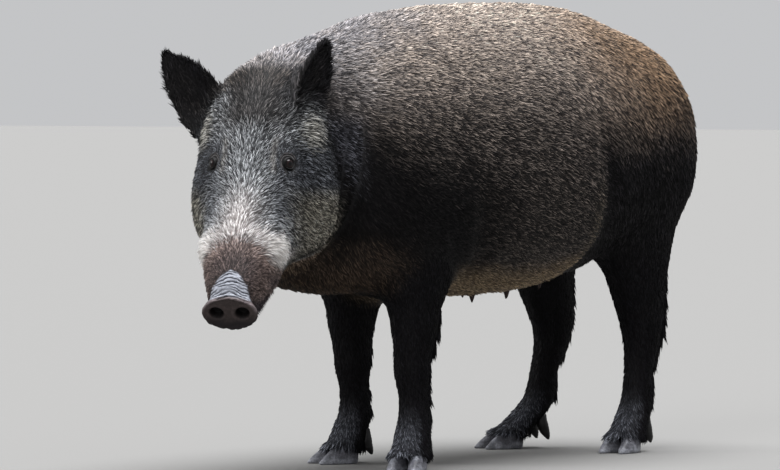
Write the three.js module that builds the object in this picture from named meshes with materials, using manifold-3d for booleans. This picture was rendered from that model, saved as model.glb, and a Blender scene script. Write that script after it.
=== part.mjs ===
// A wild boar sow, life size, standing still with its head low and turned to its left.
// Units are millimetres. +X is the boar's left, -Y is forward and +Z is up; the hooves stand on z = 0.
// The tables below give places as "ahead", the distance forward of the left forefoot, so y = -ahead.
// The body is designed straight, as if the boar looked ahead, and the neck is bent afterwards.
import * as THREE from "three";
import { mergeVertices } from "three/addons/utils/BufferGeometryUtils.js";
import Module from "manifold-3d";

const wasm = await Module();
wasm.setup();

// ---------------------------------------------------------------- driving dimensions

const GAP = 0.3; // between pieces that meet
const BODY_SIDES = 28; // points around a ring of the trunk, neck or head
const LEG_SIDES = 12;
const FILLET = 50; // how far the legs blend into the trunk

// The trunk: at each place, the height of the back and of the belly line, and half the width.
const TRUNK = [
  { ahead: -622, back: 711, belly: 366, half: 178, narrowTop: 0.2 },
  { ahead: -530, back: 739, belly: 332, half: 192, narrowTop: 0.2 },
  { ahead: -410, back: 751, belly: 282, half: 206, narrowTop: 0.2 },
  { ahead: -270, back: 749, belly: 268, half: 208, narrowTop: 0.2 },
  { ahead: -120, back: 742, belly: 270, half: 194, narrowTop: 0.22 },
  { ahead: 0, back: 728, belly: 278, half: 174, narrowTop: 0.24 },
  { ahead: 100, back: 704, belly: 282, half: 156, narrowTop: 0.24 },
];
const RUMP_END = { ahead: -770, z: 518, roundness: 1.95 };
const NECK_BASE = 60; // the trunk ends here

// The snout disc: its centre before the neck is bent, and how far its face looks down.
const DISC = { ahead: 525, z: 264, pitch: 34, halfWidth: 43, halfHeight: 29, thick: 13 };
const NOSTRIL = { out: 19.5, up: 3.5, radii: [10, 6.5, 9], tilt: 20 };

// Sections of the neck and head. Back and throat points are [ahead, z]; the head's count from the disc.
const NECK = [
  { back: [120, 697], throat: [118, 277], half: 150, narrowTop: 0.22 },
  { back: [190, 676], throat: [174, 288], half: 135, narrowTop: 0.16 },
];
const HEAD = [
  { name: "nape", back: [-266, 386], throat: [-316, 42], half: 110, narrowTop: 0.02 },
  { name: "crown", back: [-212, 356], throat: [-288, 62], half: 102, narrowTop: 0.02 },
  { name: "forehead", back: [-170, 314], throat: [-262, 68], half: 94, narrowTop: 0.1 },
  { name: "eyes", back: [-139, 263], throat: [-232, 66], half: 80, narrowTop: 0.2 },
  { name: "cheeks", back: [-112, 220], throat: [-200, 56], half: 72, narrowTop: 0.14 },
  { name: "muzzle", back: [-83, 174], throat: [-162, 39], half: 62, narrowTop: 0.06 },
  { name: "nose", back: [-45, 117], throat: [-112, 16], half: 50, narrowTop: 0 },
  { name: "lips", back: [-14, 70], throat: [-62, -9], half: 41, narrowTop: -0.05 },
  { name: "snout", back: [7, 39], throat: [-22, -18], half: 32, narrowTop: 0 },
];
const HEAD_TURN = { angle: 27, pivot: 250, from: 110, to: 270 }; // degrees to the left, along "ahead"

// The eyes, brows, cheeks and lips, as [ahead, across, z] from the disc, given for the left side.
const EYE = { at: [-156, 54, 225], radius: 12.5, looks: [0.6, 0.78, 0.15], opening: { radius: 15, out: 13 } };
const FACE_MASSES = [
  { name: "brow", at: [-168, 44, 243], radii: [26, 20, 16], blend: 22 },
  { name: "cheekbone", at: [-196, 60, 196], radii: [50, 18, 24], blend: 30 },
  { name: "jowl", at: [-248, 74, 152], radii: [56, 32, 54], blend: 46 },
  { name: "lip", at: [-74, 35, 56], radii: [28, 12, 18], blend: 18 },
  { name: "whiskers", at: [-100, 48, 100], radii: [28, 15, 26], blend: 24 },
];

const MOUTH = [[-34, -13], [-62, 14], [-100, 42], [-146, 68]]; // the lips' line from the disc, as [ahead, z]
const JAW_ANGLE = [-240, 96];

// An ear stands on its base, given as [ahead, z] from the disc, and goes on below it for the depth "sunk".
const EAR = { base: [-234, 314], length: 156, sunk: 40, width: 86, thick: 9, cup: 26 };
const EAR_POSES = {
  left: { out: 80, splay: 9, back: 24, open: 68 },
  right: { out: 96, splay: 39, back: 14, open: 8 },
};

// Legs, from the top down: the axis is [ahead, out, z] from the leg's own place, radii are [across, along].
const FORE_LEG = [
  { at: [44, 4, 545], radii: [56, 84] },
  { at: [36, 6, 450], radii: [64, 90] },
  { at: [10, 4, 360], radii: [54, 68] },
  { at: [1, 6, 290], radii: [44, 53] },
  { at: [0, 4, 225], radii: [35, 42] },
  { at: [2, 1, 172], radii: [28, 31] },
  { at: [1, 0, 150], radii: [27, 30] },
  { at: [-3, 0, 116], radii: [23, 26] },
  { at: [-6, 0, 84], radii: [26, 28] },
  { at: [3, 0, 62], radii: [29, 30] },
  { at: [10, 0, 44], radii: [30, 32] },
  { at: [18, 0, 27], radii: [31, 37] },
];
const HIND_LEG = [
  { at: [2, -2, 550], radii: [70, 104] },
  { at: [14, 4, 455], radii: [78, 104] },
  { at: [14, 2, 355], radii: [60, 78] },
  { at: [5, 4, 290], radii: [47, 58] },
  { at: [-7, 2, 240], radii: [36, 48] },
  { at: [-13, 0, 208], radii: [31, 42] },
  { at: [-11, 0, 178], radii: [27, 33] },
  { at: [0, 0, 132], radii: [23, 26] },
  { at: [6, 0, 88], radii: [26, 28] },
  { at: [18, 0, 63], radii: [29, 31] },
  { at: [31, 0, 44], radii: [30, 33] },
  { at: [44, 0, 27], radii: [31, 37] },
];
// side is +1 on the left; lean moves the ankle forward of the leg's own place; pastern lengthens the slope
// of the foot below it; toes turns the foot out, in degrees.
const LEGS = [
  { name: "fore_left", joints: FORE_LEG, side: 1, ahead: 0, out: 92, lean: 0, pastern: 1, toes: 22 },
  { name: "fore_right", joints: FORE_LEG, side: -1, ahead: -76, out: 88, lean: 1, pastern: 0.8, toes: 22 },
  { name: "hind_left", joints: HIND_LEG, side: 1, ahead: -606, out: 98, lean: -5, pastern: 1, toes: 8 },
  { name: "hind_right", joints: HIND_LEG, side: -1, ahead: -608, out: 88, lean: 18, pastern: 1.5, toes: 24 },
];
const FETLOCK = 88; // below this height a leg turns with its toes
const KNEE = 161; // height where the leg is parted, at the knee or hock
const LEG_TOP = 440; // inside the trunk, which cuts it
const FOOT_TOP = 27; // height of the coronet, where the hooves begin

const CLAW = { length: 78, width: 30, height: FOOT_TOP, apart: 16.2, splay: 5, before: 22 };
const DEWCLAW = { top: 58, tip: 13, radius: 9.5, apart: 16, behind: 15 };
const TEATS = { ahead: [-130, -218, -312, -405, -498], out: 46, length: 17, radius: 7 };
const TAIL = {
  axis: [[-728, 626], [-768, 606], [-790, 556], [-800, 484], [-802, 408], [-799, 352]],
  radii: [17, 13, 10, 8, 9, 3],
};

const COLOURS = {
  coat: 0x3a332c,
  face: 0x57524b,
  legs: 0x151311,
  ear: 0x171513,
  snout: 0x3b3330,
  horn: 0x57534e,
  eye: 0x120b08,
};

// ---------------------------------------------------------------- small helpers

const rad = THREE.MathUtils.degToRad;
const point = (ahead, across, z) => new THREE.Vector3(across, -ahead, z);
const smoothstep = (a, b, v) => THREE.MathUtils.smoothstep(v, a, b);

function material(colour, roughness) {
  return new THREE.MeshStandardMaterial({ color: colour, roughness, metalness: 0 });
}

function named(name, geometry, colour, roughness = 0.85) {
  const mesh = new THREE.Mesh(geometry, material(colour, roughness));
  mesh.name = name;
  return mesh;
}

function solidOf(geometry) {
  const bare = new THREE.BufferGeometry().setAttribute("position", geometry.getAttribute("position").clone());
  bare.setIndex(geometry.index);
  const merged = mergeVertices(bare, 1e-3);
  return new wasm.Manifold(
    new wasm.Mesh({
      numProp: 3,
      vertProperties: new Float32Array(merged.attributes.position.array),
      triVerts: new Uint32Array(merged.index.array),
    }),
  );
}

function largest(solid) {
  return solid.decompose().sort((a, b) => b.volume() - a.volume())[0];
}

function geometryOf(solid) {
  const mesh = solid.getMesh();
  const geometry = new THREE.BufferGeometry();
  geometry.setAttribute("position", new THREE.BufferAttribute(mesh.vertProperties, 3));
  geometry.setIndex(new THREE.BufferAttribute(mesh.triVerts, 1));
  return geometry.toNonIndexed();
}

// Smooth interpolation of the numbers in a list of rows, at t from 0 to rows.length - 1.
function blendRows(rows, t) {
  const last = rows.length - 1;
  const i = Math.min(Math.floor(t), last - 1);
  const u = t - i;
  const at = (k) => rows[THREE.MathUtils.clamp(k, 0, last)];
  return rows[0].map((_, n) => {
    const [a, b, c, d] = [at(i - 1)[n], at(i)[n], at(i + 1)[n], at(i + 2)[n]];
    return b + 0.5 * u * (c - a + u * (2 * a - 5 * b + 4 * c - d + u * (3 * (b - c) + d - a)));
  });
}

// Joins rings of points into one closed surface with flat or pointed ends, facing out. Each ring has the
// same number of points, or one point for a tip.
function skin(rings) {
  const triangles = [];
  const triangle = (a, b, c) => triangles.push([a, b, c]);
  const cap = (ring, flip) => {
    if (ring.length === 1) return;
    const middle = ring.reduce((sum, p) => sum.add(p), new THREE.Vector3()).divideScalar(ring.length);
    ring.forEach((p, i) => {
      const q = ring[(i + 1) % ring.length];
      flip ? triangle(middle, q, p) : triangle(middle, p, q);
    });
  };
  for (let k = 0; k + 1 < rings.length; k++) {
    const [near, far] = [rings[k], rings[k + 1]];
    const sides = Math.max(near.length, far.length);
    for (let i = 0; i < sides; i++) {
      const j = (i + 1) % sides;
      const [a, b] = [near[i % near.length], near[j % near.length]];
      const [c, d] = [far[i % far.length], far[j % far.length]];
      if (near.length > 1) triangle(a, b, d);
      if (far.length > 1) triangle(a, d, c);
    }
  }
  cap(rings[0], true);
  cap(rings[rings.length - 1], false);
  const volume = triangles.reduce((sum, [a, b, c]) => sum + a.dot(b.clone().cross(c)), 0);
  const facing = volume > 0 ? triangles : triangles.map(([a, b, c]) => [a, c, b]);
  return new THREE.BufferGeometry().setFromPoints(facing.flat());
}

// ---------------------------------------------------------------- the shape of the body

const smoothUnion = (a, b, k) => {
  const h = Math.max(k - Math.abs(a - b), 0) / k;
  return Math.min(a, b) - (h * h * k) / 4;
};

// How far a place in a section lies outside its outline, roughly. The outline is a rounded oval that is
// narrower at the top.
function sectionDistance(across, up, { half, high, narrowTop, power = 2.2 }) {
  const v = up / high;
  const width = half * (1 - narrowTop * THREE.MathUtils.clamp(v, -1, 1));
  const q = Math.pow(Math.pow(Math.abs(across) / width, power) + Math.pow(Math.abs(v), power), 1 / power);
  return q < 1e-6 ? -Math.min(half, high) : Math.hypot(across, up) * (1 - 1 / q);
}

function trunkSection(ahead) {
  const rear = TRUNK[0].ahead;
  const place = Math.max(ahead, rear);
  let i = TRUNK.findIndex((s) => s.ahead >= place);
  i = Math.max(i, 1);
  const t = i - 1 + (place - TRUNK[i - 1].ahead) / (TRUNK[i].ahead - TRUNK[i - 1].ahead);
  const rows = TRUNK.map((s) => [s.back, s.belly, s.half, s.narrowTop]);
  const [back, belly, half, narrowTop] = blendRows(rows, Math.min(t, TRUNK.length - 1));
  const section = { z: (back + belly) / 2, high: (back - belly) / 2, half, narrowTop };
  if (ahead < rear) {
    const t = Math.min((rear - ahead) / (rear - RUMP_END.ahead), 1);
    const shrink = Math.pow(1 - Math.pow(t, RUMP_END.roundness), 1 / RUMP_END.roundness);
    section.z = THREE.MathUtils.lerp(section.z, RUMP_END.z, t * t);
    section.high = Math.max(section.high * shrink, 1e-3);
    section.half = Math.max(section.half * shrink, 1e-3);
  }
  return section;
}

function trunkDistance(p) {
  const section = trunkSection(THREE.MathUtils.clamp(-p.y, RUMP_END.ahead + 1, TRUNK[TRUNK.length - 1].ahead));
  return sectionDistance(p.x, p.z - section.z, section);
}

// The joints of one leg, as [ahead, across, z, half width across, half width along].
function legJoints(leg) {
  const ankle = leg.joints.find(({ at }) => at[2] <= FETLOCK).at;
  return leg.joints.map(({ at: [ahead, out, z], radii }) => {
    const share = 1 - smoothstep(FETLOCK, KNEE + 40, z);
    const inFoot = z < ankle[2];
    const turn = inFoot ? rad(leg.toes) : 0;
    const step = (ahead - ankle[0]) * (inFoot ? leg.pastern : 1);
    return [
      leg.ahead + leg.lean * share + ankle[0] + step * Math.cos(turn),
      leg.side * (leg.out + out + step * Math.sin(turn)),
      z, ...radii,
    ];
  });
}

// Distance to a leg, as an oval cone between each two joints.
function legDistance(p, joints) {
  let least = Infinity;
  for (let i = 0; i + 1 < joints.length; i++) {
    const [a, b] = [joints[i], joints[i + 1]];
    const [dx, dy, dz] = [b[1] - a[1], -(b[0] - a[0]), b[2] - a[2]];
    const [ox, oy, oz] = [p.x - a[1], p.y + a[0], p.z - a[2]];
    const t = THREE.MathUtils.clamp((ox * dx + oy * dy + oz * dz) / (dx * dx + dy * dy + dz * dz), 0, 1);
    const rx = a[3] + t * (b[3] - a[3]);
    const ry = a[4] + t * (b[4] - a[4]);
    const [ex, ey, ez] = [ox - t * dx, oy - t * dy, oz - t * dz];
    const q = Math.hypot(ex / rx, ey / ry, ez / Math.max(rx, ry));
    const d = q < 1e-6 ? -rx : Math.hypot(ex, ey, ez) * (1 - 1 / q);
    least = i ? smoothUnion(least, d, 10) : d;
  }
  return least;
}

const legs = LEGS.map((leg) => ({ ...leg, points: legJoints(leg) }));

function withLegs(p, distance) {
  return legs.reduce((d, leg) => smoothUnion(d, legDistance(p, leg.points), FILLET), distance);
}

function faceDistance(p, distance) {
  for (const { at, radii, blend } of FACE_MASSES) {
    const ahead = (-p.y - DISC.ahead - at[0]) / radii[0];
    const across = (Math.abs(p.x) - at[1]) / radii[1];
    const up = (p.z - DISC.z - at[2]) / radii[2];
    const q = Math.hypot(ahead, across, up);
    distance = smoothUnion(distance, (q - 1) * Math.min(...radii), blend);
  }
  return distance;
}

// A ring of the surface around a centre, found by walking out along each ray. The ring never goes
// more than "reach" beyond its own plain section.
function castRing({ centre, sideways, upwards, sides, own, full, reach, grow = 0 }) {
  const ring = [];
  const at = (x, y, r) => centre.clone().addScaledVector(sideways, x * r).addScaledVector(upwards, y * r);
  const walk = (x, y, field, start, limit) => {
    let [inside, outside] = [start, start];
    while (outside < limit && field(x, y, outside) < 0) {
      inside = outside;
      outside += 5;
    }
    if (outside >= limit) return limit;
    for (let i = 0; i < 14; i++) {
      const middle = (inside + outside) / 2;
      if (field(x, y, middle) < 0) inside = middle;
      else outside = middle;
    }
    return inside;
  };
  for (let i = 0; i < sides; i++) {
    const angle = (2 * Math.PI * i) / sides;
    const [x, y] = [Math.sin(angle), Math.cos(angle)];
    const plain = walk(x, y, (a, b, r) => own(a * r, b * r), 0, 600);
    const radius = walk(x, y, (a, b, r) => full(at(a, b, r), own(a * r, b * r)), plain * 0.6, plain + reach);
    ring.push(at(x, y, radius + grow));
  }
  return ring;
}

// ---------------------------------------------------------------- trunk, neck and head

const AHEAD = new THREE.Vector3(0, -1, 0);
const LEFT = new THREE.Vector3(1, 0, 0);
const UP = new THREE.Vector3(0, 0, 1);

function turnAt(ahead) {
  return rad(HEAD_TURN.angle) * smoothstep(HEAD_TURN.from, HEAD_TURN.to, ahead);
}

// Turns a point to the left about the neck's pivot.
function turned(p, angle = rad(HEAD_TURN.angle)) {
  const pivot = point(HEAD_TURN.pivot, 0, 0);
  return p.clone().sub(pivot).applyAxisAngle(UP, angle).add(pivot);
}

function trunkRing(ahead, grow) {
  const section = trunkSection(ahead);
  return castRing({
    centre: point(ahead, 0, section.z),
    sideways: LEFT,
    upwards: UP,
    sides: BODY_SIDES,
    own: (x, y) => sectionDistance(x, y, section),
    full: withLegs,
    reach: FILLET / 4 + 3,
    grow,
  });
}

// All the sections ahead of the trunk, as rows: back and throat [ahead, z], half width, narrowing.
function frontRows() {
  const trunkRows = [0, NECK_BASE].map((ahead) => {
    const { z, high, half, narrowTop } = trunkSection(ahead);
    return [ahead, z + high, ahead, z - high, half, narrowTop];
  });
  const neck = NECK.map((s) => [...s.back, ...s.throat, s.half, s.narrowTop]);
  const head = HEAD.map(({ back, throat, half, narrowTop }) => [
    DISC.ahead + back[0], DISC.z + back[1], DISC.ahead + throat[0], DISC.z + throat[1], half, narrowTop,
  ]);
  return [...trunkRows, ...neck, ...head];
}

const FRONT_ROWS = frontRows();
const BASE_ROW = 1;
const NAPE_ROW = 2 + NECK.length;
const SNOUT_ROW = FRONT_ROWS.length - 1;
const [NECK_RINGS, HEAD_RINGS] = [7, 17];

function frontRing(t, grow = 0) {
  const [ba, bz, ta, tz, half, narrowTop] = blendRows(FRONT_ROWS, t);
  const back = point(ba, 0, bz);
  const throat = point(ta, 0, tz);
  const upwards = back.clone().sub(throat).normalize();
  const high = back.distanceTo(throat) / 2;
  const centre = back.clone().add(throat).multiplyScalar(0.5);
  const own = (x, y) => sectionDistance(x, y, { half, high, narrowTop });
  const inTrunk = t < BASE_ROW + 1.2;
  const full = (p, d) => faceDistance(p, inTrunk ? withLegs(p, d) : d);
  const ring = castRing({ centre, sideways: LEFT, upwards, sides: BODY_SIDES, own, full, reach: 30, grow });
  const turn = turnAt(-centre.y);
  const normal = LEFT.clone().cross(upwards).applyAxisAngle(UP, turn);
  return { points: ring.map((p) => turned(p, turn)), normal };
}

// Rings from row t0 to row t1. The first and last are drawn in by half the gap, or pushed out to grow.
function frontRings(t0, t1, count, grow = 0) {
  const rings = [];
  for (let k = 0; k <= count; k++) {
    const { points, normal } = frontRing(t0 + ((t1 - t0) * k) / count, grow);
    const inset = (GAP / 2 - grow) * (k === 0 ? 1 : k === count ? -1 : 0);
    rings.push(points.map((p) => p.clone().addScaledVector(normal, inset)));
  }
  return rings;
}

function trunkRings(grow = 0) {
  const rings = [[point(RUMP_END.ahead - grow, 0, RUMP_END.z)]];
  const roundRings = 5;
  for (let k = 1; k <= roundRings; k++) {
    const share = 1 - Math.cos((Math.PI / 2) * (k / (roundRings + 1)));
    rings.push(trunkRing(THREE.MathUtils.lerp(RUMP_END.ahead, TRUNK[0].ahead, share), grow));
  }
  const straightRings = 15;
  for (let k = 0; k < straightRings; k++) {
    rings.push(trunkRing(THREE.MathUtils.lerp(TRUNK[0].ahead, NECK_BASE, k / straightRings), grow));
  }
  const { points, normal } = frontRing(BASE_ROW, grow);
  rings.push(points.map((p) => p.clone().addScaledVector(normal, grow - GAP / 2)));
  return rings;
}

function teat(ahead, out) {
  const section = trunkSection(ahead);
  const sides = 8;
  const top = section.z - section.high + 14;
  const ringAt = (z, radius) =>
    Array.from({ length: sides }, (_, i) => {
      const angle = (2 * Math.PI * i) / sides;
      return point(ahead + radius * Math.cos(angle), out + radius * Math.sin(angle), z);
    });
  const bottom = section.z - section.high - TEATS.length + 8;
  const rows = [[bottom, 3], [bottom + 3, 5], [top - 4, TEATS.radius], [top + 16, TEATS.radius]];
  return solidOf(skin(rows.map(([z, radius]) => ringAt(z, radius))));
}

function makeTrunk() {
  let trunk = solidOf(skin(trunkRings()));
  for (const ahead of TEATS.ahead) {
    for (const side of [1, -1]) trunk = trunk.add(teat(ahead, side * TEATS.out));
  }
  return trunk;
}

// A slab across the head with the outline of the lower jaw, lowered by "drop".
function jawSlab(drop) {
  const [rear, front, below] = [JAW_ANGLE[0] - 90, MOUTH[0][0] + 30, -60];
  const outline = [...MOUTH, JAW_ANGLE, [rear, below], [front, below], [front, MOUTH[0][1]]];
  const shape = new THREE.Shape(outline.map(([ahead, z]) => new THREE.Vector2(ahead, z - drop)));
  const wide = 300;
  const slab = new THREE.ExtrudeGeometry(shape, { depth: wide, bevelEnabled: false });
  // The shape's x is ahead and its y is up; its depth becomes the way across.
  const toBoar = new THREE.Matrix4().makeBasis(AHEAD, UP, AHEAD.clone().cross(UP));
  slab.applyMatrix4(toBoar);
  slab.computeBoundingBox();
  slab.translate(-(slab.boundingBox.min.x + slab.boundingBox.max.x) / 2, -DISC.ahead, DISC.z);
  return solidOf(turnedGeometry(slab));
}

function turnedGeometry(geometry) {
  const position = geometry.getAttribute("position");
  const p = new THREE.Vector3();
  for (let i = 0; i < position.count; i++) {
    const q = turned(p.fromBufferAttribute(position, i));
    position.setXYZ(i, q.x, q.y, q.z);
  }
  return geometry;
}

function fromDisc([ahead, across, z]) {
  return point(DISC.ahead + ahead, across, DISC.z + z);
}

function eyeAt(side) {
  const [ahead, across, z] = EYE.at;
  return turned(fromDisc([ahead, side * across, z]));
}

function ball(radius, around = 14) {
  return new THREE.SphereGeometry(radius, around, Math.round(around * 0.6));
}

// What is cut from the head for an eye: room for the eyeball, and the opening between the lids.
function eyeSocket(side) {
  const [ahead, across, up] = EYE.looks;
  const looks = point(ahead, side * across, up).normalize().applyAxisAngle(UP, rad(HEAD_TURN.angle));
  const opening = eyeAt(side).addScaledVector(looks, EYE.opening.out);
  const room = solidOf(ball(EYE.radius + GAP).translate(...eyeAt(side).toArray()));
  return room.add(solidOf(ball(EYE.opening.radius, 12).translate(...opening.toArray())));
}

// The disc's own frame: its origin at the disc's centre, x to the boar's left, y up its face, z out of it.
function discFrame() {
  const pitch = rad(DISC.pitch);
  const out = AHEAD.clone().multiplyScalar(Math.cos(pitch)).addScaledVector(UP, -Math.sin(pitch));
  const up = LEFT.clone().cross(out).negate();
  const frame = new THREE.Matrix4().makeBasis(LEFT, up, out).setPosition(point(DISC.ahead, 0, DISC.z));
  const turn = new THREE.Matrix4()
    .makeTranslation(point(HEAD_TURN.pivot, 0, 0))
    .multiply(new THREE.Matrix4().makeRotationZ(rad(HEAD_TURN.angle)))
    .multiply(new THREE.Matrix4().makeTranslation(point(-HEAD_TURN.pivot, 0, 0)));
  return turn.multiply(frame);
}

function makeDisc() {
  const sides = 22;
  const outline = (halfWidth, halfHeight, depth) =>
    Array.from({ length: sides }, (_, i) => {
      const angle = (2 * Math.PI * i) / sides;
      return new THREE.Vector3(halfWidth * Math.cos(angle), halfHeight * Math.sin(angle), depth);
    });
  const { halfWidth: w, halfHeight: h, thick } = DISC;
  const disc = skin([
    outline(w * 0.78, h * 0.88, -thick),
    outline(w * 0.92, h * 0.95, -thick * 0.6),
    outline(w, h, -thick * 0.25),
    outline(w * 0.97, h * 0.96, 0),
    outline(w * 0.6, h * 0.55, 2),
  ]).applyMatrix4(discFrame());
  let solid = solidOf(disc);
  for (const side of [1, -1]) {
    const nostril = ball(1, 8).scale(...NOSTRIL.radii).rotateZ(side * rad(NOSTRIL.tilt));
    nostril.translate(side * NOSTRIL.out, NOSTRIL.up, 0);
    solid = solid.subtract(solidOf(nostril.applyMatrix4(discFrame())));
  }
  return solid;
}

// ---------------------------------------------------------------- ears, tail, legs and feet

// A cupped leaf: two faces a thickness apart, joined round the rim.
function makeEar(side, head) {
  const { out, splay, back, open } = EAR_POSES[side > 0 ? "left" : "right"];
  const [steps, columns] = [7, 6];
  const faceRow = (share, behind) => {
    const half = (EAR.width / 2) * Math.pow(Math.sin(Math.PI * (0.27 + 0.73 * share) ** 0.9), 0.7) + 1.5;
    return Array.from({ length: columns + 1 }, (_, i) => {
      const u = (2 * i) / columns - 1;
      const thick = EAR.thick * (1 - 0.75 * Math.abs(u) ** 2) * (1 - 0.6 * share);
      const hollow = EAR.cup * (1 - share) * (1 - u * u);
      return new THREE.Vector3(u * half, -hollow - (behind ? thick : 0), share * EAR.length);
    });
  };
  const rings = [];
  for (let k = 0; k <= steps; k++) {
    const share = Math.min(k / steps, 0.985);
    const front = faceRow(share, false);
    const rear = faceRow(share, true);
    rings.push([...front, ...rear.reverse()]);
  }
  const leaf = skin(rings);
  leaf.translate(0, 0, -EAR.sunk);
  leaf.rotateZ(Math.PI + side * rad(open));
  leaf.rotateX(-rad(back));
  leaf.rotateY(side * rad(splay));
  const [ahead, z] = EAR.base;
  leaf.translate(...fromDisc([ahead, side * out, z]).toArray());
  return largest(solidOf(turnedGeometry(leaf)).subtract(head));
}

// Rings round an axis that lies in the plane of the body, at evenly spaced places along it.
function roundRings(rows, count, sides) {
  const rings = [];
  for (let k = 0; k <= count; k++) {
    const t = ((rows.length - 1) * k) / count;
    const [ahead, z, radius] = blendRows(rows, t);
    const before = blendRows(rows, Math.max(t - 0.05, 0));
    const after = blendRows(rows, Math.min(t + 0.05, rows.length - 1));
    const along = point(after[0] - before[0], 0, after[1] - before[1]).normalize();
    const upwards = LEFT.clone().cross(along);
    rings.push(
      Array.from({ length: sides }, (_, i) => {
        const angle = (2 * Math.PI * i) / sides;
        const offset = LEFT.clone().multiplyScalar(Math.cos(angle)).addScaledVector(upwards, Math.sin(angle));
        return point(ahead, 0, z).addScaledVector(offset, radius);
      }),
    );
  }
  return rings;
}

function makeTail(trunk) {
  const rows = TAIL.axis.map(([ahead, z], i) => [ahead, z, TAIL.radii[i]]);
  return largest(solidOf(skin(roundRings(rows, 12, 10))).subtract(trunk));
}

function legRing(leg, t, grow) {
  const [ahead, across, z, half, high] = blendRows(leg.points, t);
  const section = { half, high, narrowTop: 0, power: 2.1 };
  return castRing({
    centre: point(ahead, across, z),
    sideways: LEFT,
    upwards: AHEAD,
    sides: LEG_SIDES,
    own: (x, y) => sectionDistance(x, y, section),
    full: (p, d) => (z > KNEE ? withLegs(p, trunkDistance(p)) : d),
    reach: FILLET / 4 + 4,
    grow,
  });
}

// The place along the leg's joints where its axis is at a height.
function placeAt(leg, z) {
  let [high, low] = [0, leg.points.length - 1];
  for (let i = 0; i < 30; i++) {
    const middle = (high + low) / 2;
    if (blendRows(leg.points, middle)[2] > z) high = middle;
    else low = middle;
  }
  return high;
}

function legPiece(leg, from, to, count, grow = 0) {
  const [t0, t1] = [placeAt(leg, from), placeAt(leg, to)];
  const rings = [];
  for (let k = 0; k <= count; k++) rings.push(legRing(leg, t0 + ((t1 - t0) * k) / count, grow));
  return solidOf(skin(rings));
}

// One claw of a hoof, with its sole flat on the floor and its toe ahead.
function clawGeometry() {
  const sides = 12;
  const { length, width, height } = CLAW;
  const outline = (z, long, wide, shift) =>
    Array.from({ length: sides }, (_, i) => {
      const angle = (2 * Math.PI * i) / sides;
      const toe = Math.max(Math.cos(angle), 0);
      const across = (wide / 2) * Math.sin(angle) * (1 - 0.4 * toe);
      return point(shift + (long / 2) * Math.cos(angle), across, z);
    });
  return skin([
    outline(0, length * 0.97, width * 0.94, 0),
    outline(2.5, length, width, 0),
    outline(height * 0.5, length * 0.85, width, -length * 0.08),
    outline(height - GAP, length * 0.62, width * 0.94, -length * 0.19),
  ]);
}

// A dewclaw, hanging behind the ankle: its root is at the origin and it points down and back.
function dewclawGeometry(side) {
  const sides = 8;
  const drop = DEWCLAW.top - DEWCLAW.tip;
  const rows = [[0, 0, 0.9], [0.4, 0.04, 1], [0.75, 0.16, 0.75], [1, 0.3, 0.25]];
  const rings = rows.map(([share, back, size]) =>
    Array.from({ length: sides }, (_, i) => {
      const angle = (2 * Math.PI * i) / sides;
      const radius = DEWCLAW.radius * size;
      const ahead = radius * 1.2 * Math.cos(angle) - back * drop;
      return point(ahead, side * 4 * share + radius * Math.sin(angle), -drop * share);
    }),
  );
  return skin(rings);
}

// ---------------------------------------------------------------- the whole boar

const boar = new THREE.Group();

const trunk = makeTrunk();
const neckGrown = solidOf(skin(frontRings(BASE_ROW, NAPE_ROW, NECK_RINGS, GAP)));
const bodyGrown = solidOf(skin(trunkRings(GAP))).add(neckGrown);
boar.add(named("trunk", geometryOf(trunk), COLOURS.coat));
boar.add(named("neck", skin(frontRings(BASE_ROW, NAPE_ROW, NECK_RINGS)), COLOURS.coat));

const wholeHead = solidOf(skin(frontRings(NAPE_ROW, SNOUT_ROW, HEAD_RINGS)));
const headGrown = solidOf(skin(frontRings(NAPE_ROW, SNOUT_ROW, HEAD_RINGS, GAP))).add(neckGrown);
let head = wholeHead.subtract(jawSlab(0));
for (const side of [1, -1]) head = head.subtract(eyeSocket(side));
boar.add(named("head", geometryOf(head), COLOURS.face));
boar.add(named("lower_jaw", geometryOf(wholeHead.intersect(jawSlab(GAP))), COLOURS.face));
boar.add(named("snout_disc", geometryOf(makeDisc().subtract(headGrown)), COLOURS.snout, 0.5));

for (const [name, side] of [["left", 1], ["right", -1]]) {
  boar.add(named(`ear_${name}`, geometryOf(makeEar(side, headGrown)), COLOURS.ear));
  const eye = named(`eye_${name}`, ball(EYE.radius), COLOURS.eye, 0.1);
  eye.position.copy(eyeAt(side));
  boar.add(eye);
}

boar.add(named("tail", geometryOf(makeTail(bodyGrown)), COLOURS.coat));

for (const leg of legs) {
  const upper = largest(legPiece(leg, LEG_TOP, KNEE + GAP, 9).subtract(bodyGrown));
  boar.add(named(`${leg.name}_upper`, geometryOf(upper), COLOURS.legs));
  boar.add(named(`${leg.name}_lower`, geometryOf(legPiece(leg, KNEE, FOOT_TOP, 8)), COLOURS.legs));
  const lowerGrown = legPiece(leg, KNEE, FOOT_TOP, 8, GAP);

  const turn = leg.side * rad(leg.toes);
  const about = ([ahead, across], z, back, apart) =>
    point(-back, apart, 0).applyAxisAngle(UP, turn).add(point(ahead, across, z));
  const foot = leg.points[leg.points.length - 1];
  const ankle = blendRows(leg.points, placeAt(leg, DEWCLAW.top));
  for (const [name, side] of [["inner", -leg.side], ["outer", leg.side]]) {
    const claw = named(`${leg.name}_claw_${name}`, clawGeometry(), COLOURS.horn, 0.6);
    claw.rotation.z = turn + side * rad(CLAW.splay);
    claw.position.copy(about(foot, 0, -CLAW.before, side * CLAW.apart));
    boar.add(claw);

    const dewclaw = dewclawGeometry(side).rotateZ(turn);
    dewclaw.translate(...about(ankle, DEWCLAW.top, DEWCLAW.behind, side * DEWCLAW.apart).toArray());
    const whole = largest(solidOf(dewclaw).subtract(lowerGrown));
    boar.add(named(`${leg.name}_dewclaw_${name}`, geometryOf(whole), COLOURS.horn, 0.6));
  }
}

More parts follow.
